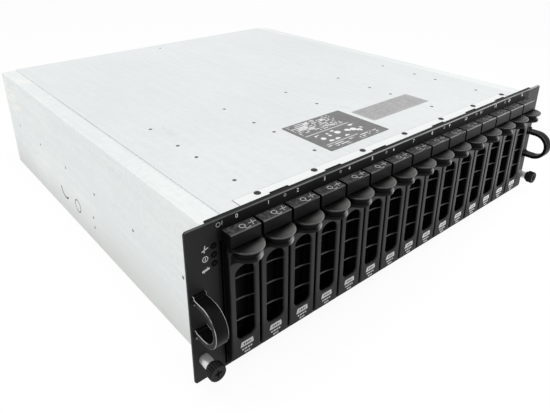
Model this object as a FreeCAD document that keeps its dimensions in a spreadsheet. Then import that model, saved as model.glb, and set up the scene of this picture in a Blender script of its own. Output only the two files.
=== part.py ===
import FreeCAD, Part
import math
import os
import re
import Sketcher

# Rack disk array: a pale sheet steel chassis behind a black panel, with a row of upright disk carriers.
# Millimetres. X runs to the right, Y to the back and Z up. Every piece is drawn with Y measured from the
# panel's front face and Z from the chassis floor, and origin_setback then moves the origin to the middle
# of the underside.

SIZES = {
    # Frame
    "origin_setback": 245.0,
    # Front panel with its two rack ears
    "ear_width": 18.3,
    "panel_over": 5.3,
    "panel_sheet": 2.0,
    "panel_lift": 0.5,
    "panel_corner": 1.5,
    "panel_fold": 3.0,
    "fold_sheet": 1.5,
    "aperture_side": 0.7,
    # Chassis shell and cover
    "side_room": 9.7,
    "head_room": 8.4,
    "body_depth": 488.0,
    "wall_sheet": 1.2,
    "cover_sheet": 1.0,
    "side_strip": 18.0,
    "cover_lap": 10.0,
    "cover_front_gap": 4.0,
    "cross_strip": 26.0,
    "hook_slot_length": 19.0,
    "hook_slot_width": 1.8,
    "hook_slot_back": 9.8,
    "hook_slot_left": 54.2,
    "hook_slot_right": 33.7,
    "hook_slot_pitch": 58.4,
    "cover_screw_radius": 2.9,
    "cover_screw_head": 0.8,
    "cover_screw_back": 17.5,
    "cover_screw_left": 38.0,
    "cover_screw_right": 18.0,
    "cover_screw_count": 7,
    # Bays and guides
    "bay_count": 15,
    "rib_gap": 0.72,
    "tray_sheet": 2.4,
    "rib_width": 1.2,
    "rib_height": 5.4,
    "slide_gap": 0.3,
    # Carrier and disk
    "drive_side": 0.2,
    "low_rail": 4.4,
    "high_rail": 5.0,
    "rail_short": 3.0,
    "rail_nose": 3.0,
    "bezel_front": 0.4,
    "bezel_sheet": 2.5,
    "bezel_foot": 12.0,
    "bezel_head": 9.0,
    "bezel_side": 3.5,
    "drive_width": 25.4,
    "drive_height": 101.6,
    "drive_length": 147.0,
    "drive_set": 3.1,
    "block_side": 1.2,
    "block_height": 10.5,
    "block_overlap": 1.7,
    "block_reach": 10.8,
    "block_gap": 0.6,
    "block_bevel": 0.7,
    "lug_half": 5.0,
    "lug_nose": 1.9,
    "lug_back_rise": 4.2,
    # Lever
    "lever_side": 1.02,
    "lever_face": 8.0,
    "lever_sheet": 2.4,
    "lever_gap": 0.4,
    "lever_toe": 1.4,
    "lever_corner": 2.0,
    "flange_sheet": 1.6,
    "flange_back": 0.6,
    "flange_drop": 2.0,
    "pivot_set": 2.6,
    "pivot_rise": 4.3,
    "pin_radius": 1.1,
    "pin_sides": 8,
    "pin_gap": 0.2,
    "slot_rise": 18.8,
    "slot_head": 10.6,
    "lever_rail": 4.8,
    "window_count": 4,
    "top_window": 0.2,
    "bar_height": 1.8,
    "bar_bow": 2.0,
    "bar_runs": 4,
    "arch_runs": 6,
    "arch_rise": 6.0,
    "tab_root": 10.8,
    "tab_side": 0.2,
    "tab_runs": 12,
    "tab_lip": 2.6,
    "tab_waist": 4.0,
    "waist_side": 3.4,
    "waist_nose": 4.4,
    "waist_set": 3.6,
    "tab_foot": 2.6,
    "foot_step": 1.4,
    # Backplane
    "plug_gap": 0.5,
    "plug_depth": 12.0,
    "plug_half": 4.0,
    "plug_rise": 6.0,
    "plug_height": 42.0,
    "board_sheet": 2.0,
    "board_short": 2.0,
    "air_slot_width": 10.0,
    "air_slot_rise": 5.7,
    "air_slot_drop": 11.2,
    "cage_margin": 12.0,
    # Ear fittings
    "handle_set": 10.5,
    "handle_height": 62.5,
    "handle_outer": 16.5,
    "handle_strap": 4.0,
    "handle_leg": 11.5,
    "handle_width": 10.5,
    "handle_foot": 2.5,
    "foot_spread": 2.2,
    "screw_head_radius": 3.4,
    "screw_head": 2.2,
    "thumb_set": 9.55,
    "thumb_height": 20.7,
    "shank_radius": 2.9,
    "shank_neck": 2.4,
    "shank_tail": 10.0,
    "collar_radius": 4.4,
    "collar_reach": 9.5,
    "turn_gap": 0.3,
    "knob_radius": 7.0,
    "knob_sides": 16,
    "knob_length": 9.2,
    "light_inset": 4.0,
    "light_half": 1.1,
    "light_drop": 1.5,
    "light_pitch": 7.2,
    "light_proud": 0.3,
    "light_length": 8.0,
    "light_margin": 7.0,
    "status_sheet": 1.6,
    "status_width": 6.0,
    # Rear modules
    "power_height": 82.6,
    "module_set": 16.3,
    "module_inset": 2.0,
    "module_gap": 0.5,
    "fan_side": 18.0,
    "fan_margin": 7.3,
    "stator_height": 5.6,
    "guard_sheet": 1.2,
    "guard_bar": 2.4,
    "rotor_back": 3.0,
    "rotor_length": 15.0,
    "rotor_gap": 0.4,
    "hub_radius": 13.0,
    "hub_sides": 21,
    "blade_count": 7,
    "tip_gap": 1.6,
    "blade_sheet": 1.6,
    "blade_chord": 12.0,
    "blade_sweep": 8.4,
    "inlet_inset": 30.0,
    "inlet_rise": 26.0,
    "inlet_width": 27.5,
    "inlet_height": 20.0,
    "inlet_depth": 18.0,
    "prong_width": 2.0,
    "prong_height": 4.0,
    "prong_length": 11.0,
    "prong_pitch": 7.0,
    "prong_drop": 3.5,
    "switch_rise": 58.0,
    "rocker_width": 13.2,
    "rocker_half": 8.2,
    "rocker_gap": 0.3,
    "rocker_swing": 0.7,
    "rocker_dip": 1.5,
    "rocker_set": 3.5,
    "rocker_back": 4.0,
    "rocker_crest": 2.6,
    "rocker_valley": 1.4,
    "rocker_tilt": 8.0,
    "latch_inset": 24.0,
    "latch_length": 16.0,
    "latch_height": 10.0,
    "latch_travel": 6.0,
    "latch_well": 4.0,
    "latch_ridge": 3.0,
    "latch_proud": 3.5,
    "power_latch_rise": 8.5,
    "grip_clear": 10.0,
    "grip_rise": 35.0,
    "grip_height": 12.0,
    "grip_reach": 16.0,
    "grip_strap": 4.0,
    "port_first": 30.0,
    "port_pitch": 34.0,
    "port_width": 22.0,
    "port_height": 9.0,
    "port_depth": 11.0,
    "port_tongue": 1.6,
    "small_port_width": 13.0,
    "small_port_height": 11.0,
    "vent_clear": 8.0,
    "vent_pitch": 8.0,
    "vent_count": 6,
    "vent_width": 3.0,
    "vent_margin": 8.0,
    "vent_depth": 4.0,
}

# Places worked out from the sizes
PANEL_TOP = "(panel_lift + panel_height)"
HALF_BODY = "(body_width / 2)"
INNER_HALF = "(body_width / 2 - wall_sheet)"
FLANGE_LOW = "(body_height - wall_sheet)"
COVER_HALF = "(body_width / 2 - side_strip)"
COVER_TOP = "(body_height + cover_sheet)"
APERTURE_HALF = "(bay_count * bay_pitch / 2 + aperture_side)"
TRAY_TOP = "(wall_sheet + tray_sheet)"
CARRIER_LOW = "(wall_sheet + tray_sheet + slide_gap)"
DRIVE_LOW = f"({CARRIER_LOW} + low_rail)"
DRIVE_HIGH = f"({DRIVE_LOW} + drive_height)"
CARRIER_HIGH = f"({DRIVE_HIGH} + high_rail)"
UPPER_TRAY = f"({CARRIER_HIGH} + slide_gap)"
BEZEL_BACK = "(bezel_front + bezel_sheet)"
DRIVE_FRONT = f"({BEZEL_BACK} + drive_set)"
BLOCK_LOW = f"({CARRIER_HIGH} - block_overlap)"
BLOCK_HIGH = f"({BLOCK_LOW} + block_height)"
LEVER_TOP = f"({BLOCK_LOW} - lever_gap)"
PLATE_BACK = "(lever_sheet - lever_face)"
PIVOT_HEIGHT = f"({CARRIER_LOW} + pivot_rise)"
BOARD_FRONT = f"({DRIVE_FRONT} + drive_length + plug_gap + plug_depth)"
BOARD_BACK = f"({BOARD_FRONT} + board_sheet)"
CAGE_BACK = f"({BOARD_BACK} + wall_sheet)"
MODULE_BACK = "(body_depth - module_inset)"
MODULE_WIDTH = f"({INNER_HALF} - wall_sheet / 2 - 2 * module_gap)"
MODULE_SIDE = "(wall_sheet / 2 + module_gap)"
POWER_LOW = "(wall_sheet + slide_gap)"
POWER_HIGH = "(shelf_height - module_gap)"
CONTROL_LOW = "(shelf_height + wall_sheet + slide_gap)"
CONTROL_HIGH = f"({FLANGE_LOW} - module_gap)"
LIGHT_ACROSS = "(light_inset - body_width / 2)"
STRAP_MIDDLE = "(handle_outer - handle_strap / 2)"
ROTOR_BACK = f"({MODULE_BACK} - rotor_back)"
WELL_FLOOR = f"({MODULE_BACK} - fan_well)"
LATCH_FLOOR = f"({MODULE_BACK} - latch_well)"
LATCH_START = f"({MODULE_WIDTH} - latch_inset - latch_length / 2 - latch_travel - rocker_gap)"
INLET_COLUMN = f"({MODULE_WIDTH} - inlet_inset)"
CONTROL_MIDDLE = f"(({CONTROL_LOW} + {CONTROL_HIGH}) / 2)"

# Sizes that follow from others, used by name like the rest
FOLLOWING = {
    "carrier_width": "drive_width + 2 * drive_side",
    "bay_pitch": "carrier_width + 2 * rib_gap + rib_width",
    "block_width": "bay_pitch - 2 * block_side",
    "lever_width": "bay_pitch - 2 * lever_side",
    "window_half": "lever_width / 2 - lever_rail",
    "tab_radius": "lever_width / 2 - tab_side",
    "foot_radius": "tab_radius - foot_step",
    "waist_half": "tab_radius - waist_side",
    "waist_reach": "tab_radius - waist_set",
    "bezel_window_half": "carrier_width / 2 - bezel_side",
    "body_width": "bay_count * bay_pitch + 2 * side_room",
    "panel_width": "body_width + 2 * ear_width",
    "body_height": f"{UPPER_TRAY} + tray_sheet + head_room + wall_sheet",
    "panel_height": "body_height + panel_over - panel_lift",
    "rail_end": f"{DRIVE_FRONT} + drive_length - rail_short",
    "board_height": f"{UPPER_TRAY} - board_short - wall_sheet",
    "air_slot_low": f"{DRIVE_LOW} + plug_rise + plug_height + air_slot_rise",
    "air_slot_height": "wall_sheet + board_height - air_slot_drop - air_slot_low",
    "slot_low": f"{PIVOT_HEIGHT} + slot_rise",
    "slot_side": f"{LEVER_TOP} - tab_lip - tab_waist - tab_foot - slot_head - arch_rise - slot_low",
    "hook_slot_first": f"hook_slot_left - {COVER_HALF}",
    "hook_group_shift": f"2 * {COVER_HALF} - hook_slot_left - hook_slot_right - 2 * hook_slot_pitch",
    "cover_screw_first": f"cover_screw_left - {COVER_HALF}",
    "cover_screw_pitch": f"(2 * {COVER_HALF} - cover_screw_left - cover_screw_right) / (cover_screw_count - 1)",
    "handle_across": "body_width + 2 * handle_set",
    "thumb_across": "body_width + 2 * thumb_set",
    "shelf_height": f"{POWER_LOW} + power_height + module_gap",
    "module_front": f"{CAGE_BACK} + module_set",
    "fan_radius": "power_height / 2 - fan_margin",
    "fan_at": "fan_radius + fan_side",
    "fan_rise": "power_height / 2",
    "fan_well": "rotor_back + rotor_length + rotor_gap + stator_height",
    "blade_tip": "fan_radius - tip_gap",
    "rocker_well": "rocker_set + rocker_back + rocker_dip",
}

doc = FreeCAD.newDocument("storage_array")
sheet = doc.addObject("Spreadsheet::Sheet", "Sizes")
for row, (alias, amount) in enumerate(SIZES.items(), 1):
    sheet.set(f"A{row}", alias)
    sheet.set(f"B{row}", str(amount))
    sheet.setAlias(f"B{row}", alias)
doc.recompute()

ALIAS = re.compile(r"\b(" + "|".join(SIZES) + r")\b")
FOLLOWER = re.compile(r"\b(" + "|".join(FOLLOWING) + r")\b")
TURN = {
    "x": FreeCAD.Rotation(FreeCAD.Vector(0, 1, 0), 90),
    "y": FreeCAD.Rotation(FreeCAD.Vector(1, 0, 0), -90),
    "z": FreeCAD.Rotation(),
}
nodes = []


# Helpers that bind sizes to the sheet
def formula(text):
    text = str(text)
    while FOLLOWER.search(text):
        text = FOLLOWER.sub(lambda found: f"({FOLLOWING[found[0]]})", text)
    return ALIAS.sub(r"Sizes.\1", text)


def size(text):
    return float(sheet.evalExpression(formula(text)))


def bind(obj, prop, text):
    obj.setExpression(prop, formula(text))


def place(obj, x=0, y=0, z=0):
    for axis, text in zip("xyz", (x, y, z)):
        bind(obj, f"Placement.Base.{axis}", text)
    return obj


def node(obj, label, x=0, y=0, z=0):
    obj.Label = label
    place(obj, x, f"({y}) - origin_setback", z)
    nodes.append(obj)
    return obj


# Part primitives between bound limits
def box(name, x, y, z):
    obj = doc.addObject("Part::Box", name)
    for prop, (low, high) in zip(("Length", "Width", "Height"), (x, y, z)):
        bind(obj, prop, f"({high}) - ({low})")
    return place(obj, x[0], y[0], z[0])


def mid_box(name, x, half, y, z):
    return box(name, (f"({x}) - ({half})", f"({x}) + ({half})"), y, z)


def rod(name, along, radius, centre, low, high):
    obj = doc.addObject("Part::Cylinder", name)
    bind(obj, "Radius", radius)
    bind(obj, "Height", f"({high}) - ({low})")
    obj.Placement.Rotation = TURN[along]
    spot = list(centre)
    spot.insert("xyz".index(along), low)
    return place(obj, *spot)


def prism(name, along, sides, radius, centre, low, high):
    obj = doc.addObject("Part::Prism", name)
    bind(obj, "Polygon", sides)
    bind(obj, "Circumradius", radius)
    bind(obj, "Height", f"({high}) - ({low})")
    obj.Placement.Rotation = TURN[along]
    spot = list(centre)
    spot.insert("xyz".index(along), low)
    return place(obj, *spot)


def group(name, shapes):
    obj = doc.addObject("Part::Compound", name)
    obj.Links = shapes
    return obj


def fuse(name, shapes):
    obj = doc.addObject("Part::MultiFuse", name)
    obj.Shapes = shapes
    obj.Refine = True
    return obj


def cut(name, base, tools):
    obj = doc.addObject("Part::Cut", name)
    obj.Base = base
    obj.Tool = tools[0] if len(tools) == 1 else group(f"{name}_tools", tools)
    return obj


# Sketches whose corners are held by bound distances
def new_body(name):
    return doc.addObject("PartDesign::Body", name)


def origin_part(body, role):
    return next(part for part in body.Origin.OriginFeatures if part.Role == role)


def sketch(body, name, role, offset=0):
    obj = body.newObject("Sketcher::SketchObject", name)
    obj.AttachmentSupport = (origin_part(body, role), "")
    obj.MapMode = "FlatFace"
    bind(obj, "AttachmentOffset.Base.z", offset)
    return obj


def hold(sk, kind, ends, text):
    index = sk.addConstraint(Sketcher.Constraint(kind, *ends, size(text)))
    name = f"{kind}_{index}"
    sk.renameConstraint(index, name)
    bind(sk, f"Constraints.{name}", text)


def pin_point(sk, geo, end, spot):
    for kind, text in zip(("DistanceX", "DistanceY"), spot):
        hold(sk, kind, (-1, 1, geo, end), text)


def add_arc(sk, start, end, side, radius):
    across = end - start
    half = across.Length / 2
    rise = math.sqrt(max(size(radius) ** 2 - half ** 2, 0))
    left = FreeCAD.Vector(-across.y, across.x, 0).normalize()
    centre = (start + end) / 2 + left * (rise if side == "out" else -rise)
    first, last = (start, end) if side == "out" else (end, start)
    turns = [math.atan2((spot - centre).y, (spot - centre).x) for spot in (first, last)]
    circle = Part.Circle(centre, FreeCAD.Vector(0, 0, 1), size(radius))
    geo = sk.addGeometry(Part.ArcOfCircle(circle, *turns))
    hold(sk, "Radius", (geo,), radius)
    return (geo, 1, 2) if side == "out" else (geo, 2, 1)


def outline(sk, corners, arcs=None):
    # Runs anticlockwise from corner to corner; an arc bows out of the area or into it
    arcs = arcs or {}
    spots = [FreeCAD.Vector(size(u), size(v), 0) for u, v in corners]
    runs = []
    for index, start in enumerate(spots):
        end = spots[(index + 1) % len(spots)]
        if index in arcs:
            runs.append(add_arc(sk, start, end, *arcs[index]))
        else:
            runs.append((sk.addGeometry(Part.LineSegment(start, end)), 1, 2))
    for index, (geo, first, last) in enumerate(runs):
        following = runs[(index + 1) % len(runs)]
        sk.addConstraint(Sketcher.Constraint("Coincident", geo, last, following[0], following[1]))
        pin_point(sk, geo, first, corners[index])


def bowed(start, end, level, rise, runs):
    # Corners of a parabola that stands rise above level half way from start to end
    spots = []
    for step in range(runs + 1):
        share = f"{step} / {runs}"
        spots.append((f"({start}) + (({end}) - ({start})) * {share}",
                      f"({level}) + ({rise}) * 4 * {share} * (1 - {share})"))
    return spots


def rounded(centre, radius, first, last, runs):
    # Corners on a circle, from one angle to another in degrees
    spots = []
    for step in range(runs + 1):
        angle = first + (last - first) * step / runs
        spots.append((f"({centre[0]}) + ({radius}) * cos({angle} deg)",
                      f"({centre[1]}) + ({radius}) * sin({angle} deg)"))
    return spots


def many_sided(sk, centre, radius, sides):
    outline(sk, rounded(centre, radius, 0, 360, sides)[:-1])


def rectangle(sk, u, v):
    outline(sk, [(u[0], v[0]), (u[1], v[0]), (u[1], v[1]), (u[0], v[1])])


def circle(sk, spot, radius):
    centre = FreeCAD.Vector(size(spot[0]), size(spot[1]), 0)
    geo = sk.addGeometry(Part.Circle(centre, FreeCAD.Vector(0, 0, 1), size(radius)))
    pin_point(sk, geo, 3, spot)
    hold(sk, "Radius", (geo,), radius)


def feature(body, kind, sk, length, reverse=False):
    obj = body.newObject(f"PartDesign::{kind}", f"{sk.Name}_{kind}")
    obj.Profile = sk
    bind(obj, "Length", length)
    obj.Reversed = reverse
    return obj


def pad(body, sk, length, reverse=False):
    return feature(body, "Pad", sk, length, reverse)


def pocket(body, sk, length, reverse=False):
    return feature(body, "Pocket", sk, length, reverse)


def line_pattern(body, original, axis, length, count):
    obj = body.newObject("PartDesign::LinearPattern", f"{original.Name}_row")
    obj.Originals = [original]
    obj.Direction = (origin_part(body, axis), [""])
    bind(obj, "Length", length)
    bind(obj, "Occurrences", count)
    body.Tip = obj
    return obj


def ring_pattern(body, original, axis, count):
    obj = body.newObject("PartDesign::PolarPattern", f"{original.Name}_ring")
    obj.Originals = [original]
    obj.Axis = (origin_part(body, axis), [""])
    obj.Angle = 360
    bind(obj, "Occurrences", count)
    body.Tip = obj
    return obj


# Sheet steel shell: floor, walls and inward top flanges in one folded profile, with a front cross strip
def chassis_shell():
    body = new_body("shell")
    profile = sketch(body, "shell_profile", "XZ_Plane", "-panel_sheet")
    lip = f"({COVER_HALF} - cover_lap)"
    half = [
        (HALF_BODY, 0), (HALF_BODY, "body_height"), (lip, "body_height"), (lip, FLANGE_LOW),
        (INNER_HALF, FLANGE_LOW), (INNER_HALF, "wall_sheet"),
    ]
    outline(profile, half + [(f"-{u}", v) for u, v in reversed(half)])
    pad(body, profile, "body_depth - panel_sheet", True)
    strip = sketch(body, "shell_strip", "XY_Plane", FLANGE_LOW)
    rectangle(strip, (f"-{lip}", lip), ("panel_sheet", "panel_sheet + cross_strip"))
    pad(body, strip, "wall_sheet")
    node(body, "chassis_shell")


# Flat cover lapped over the flanges, with two groups of hook slots near its front edge
def top_cover():
    body = new_body("cover")
    plate = sketch(body, "cover_plate", "XY_Plane", "body_height")
    rectangle(plate, (f"-{COVER_HALF}", COVER_HALF), ("cover_front_gap", "body_depth"))
    pad(body, plate, "cover_sheet")
    slots = sketch(body, "cover_hook_slot", "XY_Plane", COVER_TOP)
    for shift in ("0", "hook_group_shift"):
        middle = f"hook_slot_first + {shift}"
        rectangle(
            slots, (f"{middle} - hook_slot_length / 2", f"{middle} + hook_slot_length / 2"),
            ("hook_slot_back - hook_slot_width / 2", "hook_slot_back + hook_slot_width / 2"))
    slot = pocket(body, slots, "cover_sheet")
    line_pattern(body, slot, "X_Axis", "hook_slot_pitch * 2", 3)
    node(body, "top_cover")


def light_middle(index):
    return f"({UPPER_TRAY} - light_drop - {index} * light_pitch)"


# Black panel: one plate with both rack ears, the bay aperture, the ear holes and a folded top edge
def front_panel():
    body = new_body("panel")
    plate = sketch(body, "panel_plate", "XZ_Plane")
    right, low, high = "(panel_width / 2)", "panel_lift", PANEL_TOP
    inset = f"({right} - panel_corner)"
    outline(plate, [
        (f"-{inset}", low), (inset, low), (right, f"{low} + panel_corner"), (right, f"{high} - panel_corner"),
        (inset, high), (f"-{inset}", high), (f"-{right}", f"{high} - panel_corner"),
        (f"-{right}", f"{low} + panel_corner"),
    ])
    pad(body, plate, "panel_sheet", True)
    fold = sketch(body, "panel_fold_edge", "XZ_Plane", "-panel_sheet")
    rectangle(fold, (f"-{HALF_BODY}", HALF_BODY), (f"{high} - fold_sheet", high))
    pad(body, fold, "panel_fold", True)
    holes = sketch(body, "panel_holes", "XZ_Plane")
    rectangle(holes, (f"-{APERTURE_HALF}", APERTURE_HALF), (TRAY_TOP, UPPER_TRAY))
    for side in ("-", ""):
        circle(holes, (f"{side}thumb_across / 2", "thumb_height"), "collar_radius")
    for index in range(3):
        middle = light_middle(index)
        rectangle(holes, (f"{LIGHT_ACROSS} - light_half", f"{LIGHT_ACROSS} + light_half"),
                  (f"{middle} - light_half", f"{middle} + light_half"))
    pocket(body, holes, "panel_sheet", False)
    node(body, "front_panel")


# Guide trays: a sheet with ribs that stand between the bays
def guide_tray(label, low, ribs):
    body = new_body(label)
    plate = sketch(body, f"{label}_plate", "XY_Plane", low)
    rectangle(plate, (f"-{INNER_HALF}", INNER_HALF), ("panel_sheet", BOARD_FRONT))
    pad(body, plate, "tray_sheet")
    rib = sketch(body, f"{label}_rib", "XY_Plane", ribs)
    edge = "(-bay_count * bay_pitch / 2)"
    rectangle(rib, (f"{edge} - rib_width / 2", f"{edge} + rib_width / 2"), ("panel_sheet", BOARD_FRONT))
    first = pad(body, rib, "rib_height")
    line_pattern(body, first, "X_Axis", "bay_count * bay_pitch", "bay_count + 1")
    node(body, label)


# Backplane board with air slots, its plugs and the welded cage that carries it
def backplane():
    body = new_body("board")
    plate = sketch(body, "board_plate", "XZ_Plane", f"-{BOARD_FRONT}")
    rectangle(plate, (f"-{INNER_HALF}", INNER_HALF), ("wall_sheet", "wall_sheet + board_height"))
    pad(body, plate, "board_sheet", True)
    slots = sketch(body, "board_air_slot", "XZ_Plane", f"-{BOARD_FRONT}")
    first = "((1 - bay_count / 2) * bay_pitch)"
    rectangle(slots, (f"{first} - air_slot_width / 2", f"{first} + air_slot_width / 2"),
              ("air_slot_low", "air_slot_low + air_slot_height"))
    slot = pocket(body, slots, "board_sheet", False)
    line_pattern(body, slot, "X_Axis", "(bay_count - 2) * bay_pitch", "bay_count - 1")
    node(body, "backplane")
    plugs = []
    for bay in range(int(size("bay_count"))):
        low = f"({DRIVE_LOW} + plug_rise)"
        plugs.append(mid_box(f"plug_{bay:02d}", bay_middle(bay), "plug_half",
                             (f"{BOARD_FRONT} - plug_depth", BOARD_FRONT), (low, f"{low} + plug_height")))
    node(group("plugs", plugs), "backplane_connectors")


def rear_cage():
    body = new_body("cage")
    wall = sketch(body, "cage_wall", "XZ_Plane", f"-{BOARD_BACK}")
    rectangle(wall, (f"-{INNER_HALF}", INNER_HALF), ("wall_sheet", FLANGE_LOW))
    pad(body, wall, "wall_sheet", True)
    windows = sketch(body, "cage_windows", "XZ_Plane", f"-{BOARD_BACK}")
    shelf_top = "shelf_height + wall_sheet"
    for side in (("cage_margin", f"{INNER_HALF} - cage_margin"), (f"cage_margin - {INNER_HALF}", "-cage_margin")):
        rectangle(windows, side, ("wall_sheet + cage_margin", "shelf_height - cage_margin"))
        rectangle(windows, side, (f"{shelf_top} + cage_margin", f"{FLANGE_LOW} - cage_margin"))
    pocket(body, windows, "wall_sheet", False)
    cross = sketch(body, "cage_cross", "XZ_Plane", f"-{CAGE_BACK}")
    half = "(wall_sheet / 2)"
    right = [
        (half, "wall_sheet"), (half, "shelf_height"), (INNER_HALF, "shelf_height"), (INNER_HALF, shelf_top),
        (half, shelf_top), (half, "body_height"),
    ]
    outline(cross, right + [(f"-{u}", v) for u, v in reversed(right)])
    pad(body, cross, f"{MODULE_BACK} - {CAGE_BACK}", True)
    node(body, "rear_cage")


# Disk carrier: frame and head block in one side profile, with the bezel window and the open seat of the lever's pin
def bay_middle(bay):
    return f"({bay} - (bay_count - 1) / 2) * bay_pitch"


def carrier_pattern():
    body = new_body("carrier_frame")
    half = "(carrier_width / 2)"
    profile = sketch(body, "carrier_profile", "YZ_Plane", f"-{half}")
    outline(profile, [
        ("bezel_front", CARRIER_LOW), ("rail_end - rail_nose", CARRIER_LOW),
        ("rail_end", f"{CARRIER_LOW} + rail_nose"), ("rail_end", DRIVE_LOW), (BEZEL_BACK, DRIVE_LOW),
        (BEZEL_BACK, DRIVE_HIGH), ("rail_end", DRIVE_HIGH), ("rail_end", f"{CARRIER_HIGH} - rail_nose"),
        ("rail_end - rail_nose", CARRIER_HIGH), ("-block_gap", CARRIER_HIGH), ("-block_gap", BLOCK_LOW),
        ("bezel_front", BLOCK_LOW),
    ])
    pad(body, profile, "carrier_width")
    head = sketch(body, "carrier_head", "YZ_Plane", "-block_width / 2")
    outline(head, [
        ("-block_reach", BLOCK_LOW), ("-block_gap", BLOCK_LOW), ("-block_gap", BLOCK_HIGH),
        ("block_bevel - block_reach", BLOCK_HIGH), ("-block_reach", f"{BLOCK_HIGH} - block_bevel"),
    ])
    pad(body, head, "block_width")
    window = sketch(body, "carrier_window", "XZ_Plane", "-bezel_front")
    rectangle(window, ("-bezel_window_half", "bezel_window_half"),
              (f"{CARRIER_LOW} + bezel_foot", f"{CARRIER_HIGH} - bezel_head"))
    pocket(body, window, "bezel_sheet", False)
    lug = sketch(body, "carrier_lug", "YZ_Plane", "-lug_half")
    gap = "(pin_radius + pin_gap)"
    nose, seat = "(-pivot_set - lug_nose)", f"({gap} - pivot_set)"
    low, high = f"({PIVOT_HEIGHT} - lug_nose)", f"({PIVOT_HEIGHT} + lug_back_rise)"
    outline(lug, [
        (nose, low), (BEZEL_BACK, low), (BEZEL_BACK, high), (seat, high), (seat, f"{PIVOT_HEIGHT} - {gap}"),
        (f"-pivot_set - {gap}", f"{PIVOT_HEIGHT} - {gap}"), (f"-pivot_set - {gap}", PIVOT_HEIGHT),
        (nose, PIVOT_HEIGHT),
    ])
    pad(body, lug, "2 * lug_half")
    drive = mid_box("drive", 0, "drive_width / 2", (DRIVE_FRONT, f"{DRIVE_FRONT} + drive_length"),
                    (DRIVE_LOW, DRIVE_HIGH))
    return [body, drive]


# Carrier lever: a plate with bowed bars across its slot, side flanges, a spool shaped tab and a pivot pin
def lever_windows(sk):
    count, runs = int(size("window_count")), int(size("bar_runs"))
    step = "((slot_side + bar_height) / (window_count - 1 + top_window))"
    for index in range(count):
        low = f"(slot_low + {index} * {step})"
        floor = bowed("-window_half", "window_half", low, "bar_bow", runs if index else 1)
        if index == count - 1:
            top, rise, roof_runs = "(slot_low + slot_side)", "arch_rise", int(size("arch_runs"))
        else:
            top, rise, roof_runs = f"({low} + {step} - bar_height)", "bar_bow", runs
        roof = bowed("window_half", "-window_half", top, rise, roof_runs)
        outline(sk, floor + roof)


def half_disc(body, name, top, radius, depth):
    sk = sketch(body, name, "XY_Plane", top)
    back = "(lever_sheet / 2 - lever_face)"
    outline(sk, rounded((0, "-tab_root"), radius, 180, 360, int(size("tab_runs")))
            + [(radius, back), (f"-{radius}", back)])
    return pad(body, sk, depth, True)


def lever_pattern():
    body = new_body("lever")
    half, low = "(lever_width / 2)", f"({PIVOT_HEIGHT} - lever_toe)"
    inset = f"({half} - lever_corner)"
    plate = sketch(body, "lever_plate", "XZ_Plane", "lever_face")
    outline(plate, [
        (f"-{inset}", low), (inset, low), (half, f"{low} + lever_corner"), (half, LEVER_TOP),
        (f"-{half}", LEVER_TOP), (f"-{half}", f"{low} + lever_corner"),
    ])
    pad(body, plate, "lever_sheet", True)
    windows = sketch(body, "lever_window", "XZ_Plane", "lever_face")
    lever_windows(windows)
    pocket(body, windows, "lever_sheet", False)
    for name, start in (("left", f"-{half}"), ("right", f"{half} - flange_sheet")):
        flange = sketch(body, f"lever_flange_{name}", "YZ_Plane", start)
        root = f"({PLATE_BACK} - lever_sheet / 2)"
        drop = f"{PIVOT_HEIGHT} - flange_drop"
        outline(flange, [
            (root, drop), ("-pivot_set", drop), ("-flange_back", PIVOT_HEIGHT), ("-flange_back", LEVER_TOP),
            (root, LEVER_TOP),
        ])
        pad(body, flange, "flange_sheet")
    pivot = sketch(body, "lever_pin", "YZ_Plane", f"flange_sheet / 2 - {half}")
    many_sided(pivot, ("-pivot_set", PIVOT_HEIGHT), "pin_radius", int(size("pin_sides")))
    pad(body, pivot, "lever_width - flange_sheet")
    half_disc(body, "lever_tab", LEVER_TOP, "tab_radius", "tab_lip")
    waist = sketch(body, "lever_waist", "XY_Plane", f"{LEVER_TOP} - tab_lip")
    back = "(lever_sheet / 2 - lever_face)"
    outline(waist, [
        ("-waist_half", "-tab_root"), ("-waist_nose", "-tab_root - waist_reach"),
        ("waist_nose", "-tab_root - waist_reach"), ("waist_half", "-tab_root"), ("waist_half", back),
        ("-waist_half", back),
    ])
    pad(body, waist, "tab_waist", True)
    half_disc(body, "lever_foot", f"{LEVER_TOP} - tab_lip - tab_waist", "foot_radius", "tab_foot")
    return body


def carriers_and_levers():
    carrier = carrier_pattern()
    lever = lever_pattern()
    for bay in range(int(size("bay_count"))):
        node(group(f"carrier_set_{bay:02d}", carrier), f"carrier_{bay:02d}", bay_middle(bay))
        node(group(f"lever_set_{bay:02d}", [lever]), f"carrier_lever_{bay:02d}", bay_middle(bay))


# Pull handles: a flat strap bent into a D, with spread feet
def pull_handles():
    body = new_body("handle")
    inner = "(handle_outer - handle_strap)"
    strap = sketch(body, "handle_strap_outline", "YZ_Plane", "-handle_width / 2")
    outline(strap, [
        (0, "handle_outer"), ("-handle_leg", "handle_outer"), ("-handle_leg - handle_outer", 0),
        ("-handle_leg", "-handle_outer"), (0, "-handle_outer"), (0, f"-{inner}"), ("-handle_leg", f"-{inner}"),
        (f"-handle_leg - {inner}", 0), ("-handle_leg", inner), (0, inner),
    ], {1: ("out", "handle_outer"), 2: ("out", "handle_outer"), 6: ("in", inner), 7: ("in", inner)})
    pad(body, strap, "handle_width")
    feet = sketch(body, "handle_feet", "YZ_Plane", "-handle_width / 2")
    for side in ("", "-"):
        near, far = f"{side}({inner} - foot_spread / 2)", f"{side}(handle_outer + foot_spread)"
        low, high = (near, far) if not side else (far, near)
        rectangle(feet, ("-handle_foot", 0), (low, high))
    pad(body, feet, "handle_width")
    for side, label in (("-", "left"), ("", "right")):
        node(group(f"handle_{label}", [body]), f"pull_handle_{label}",
             f"{side}handle_across / 2", 0, "handle_height")


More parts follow.
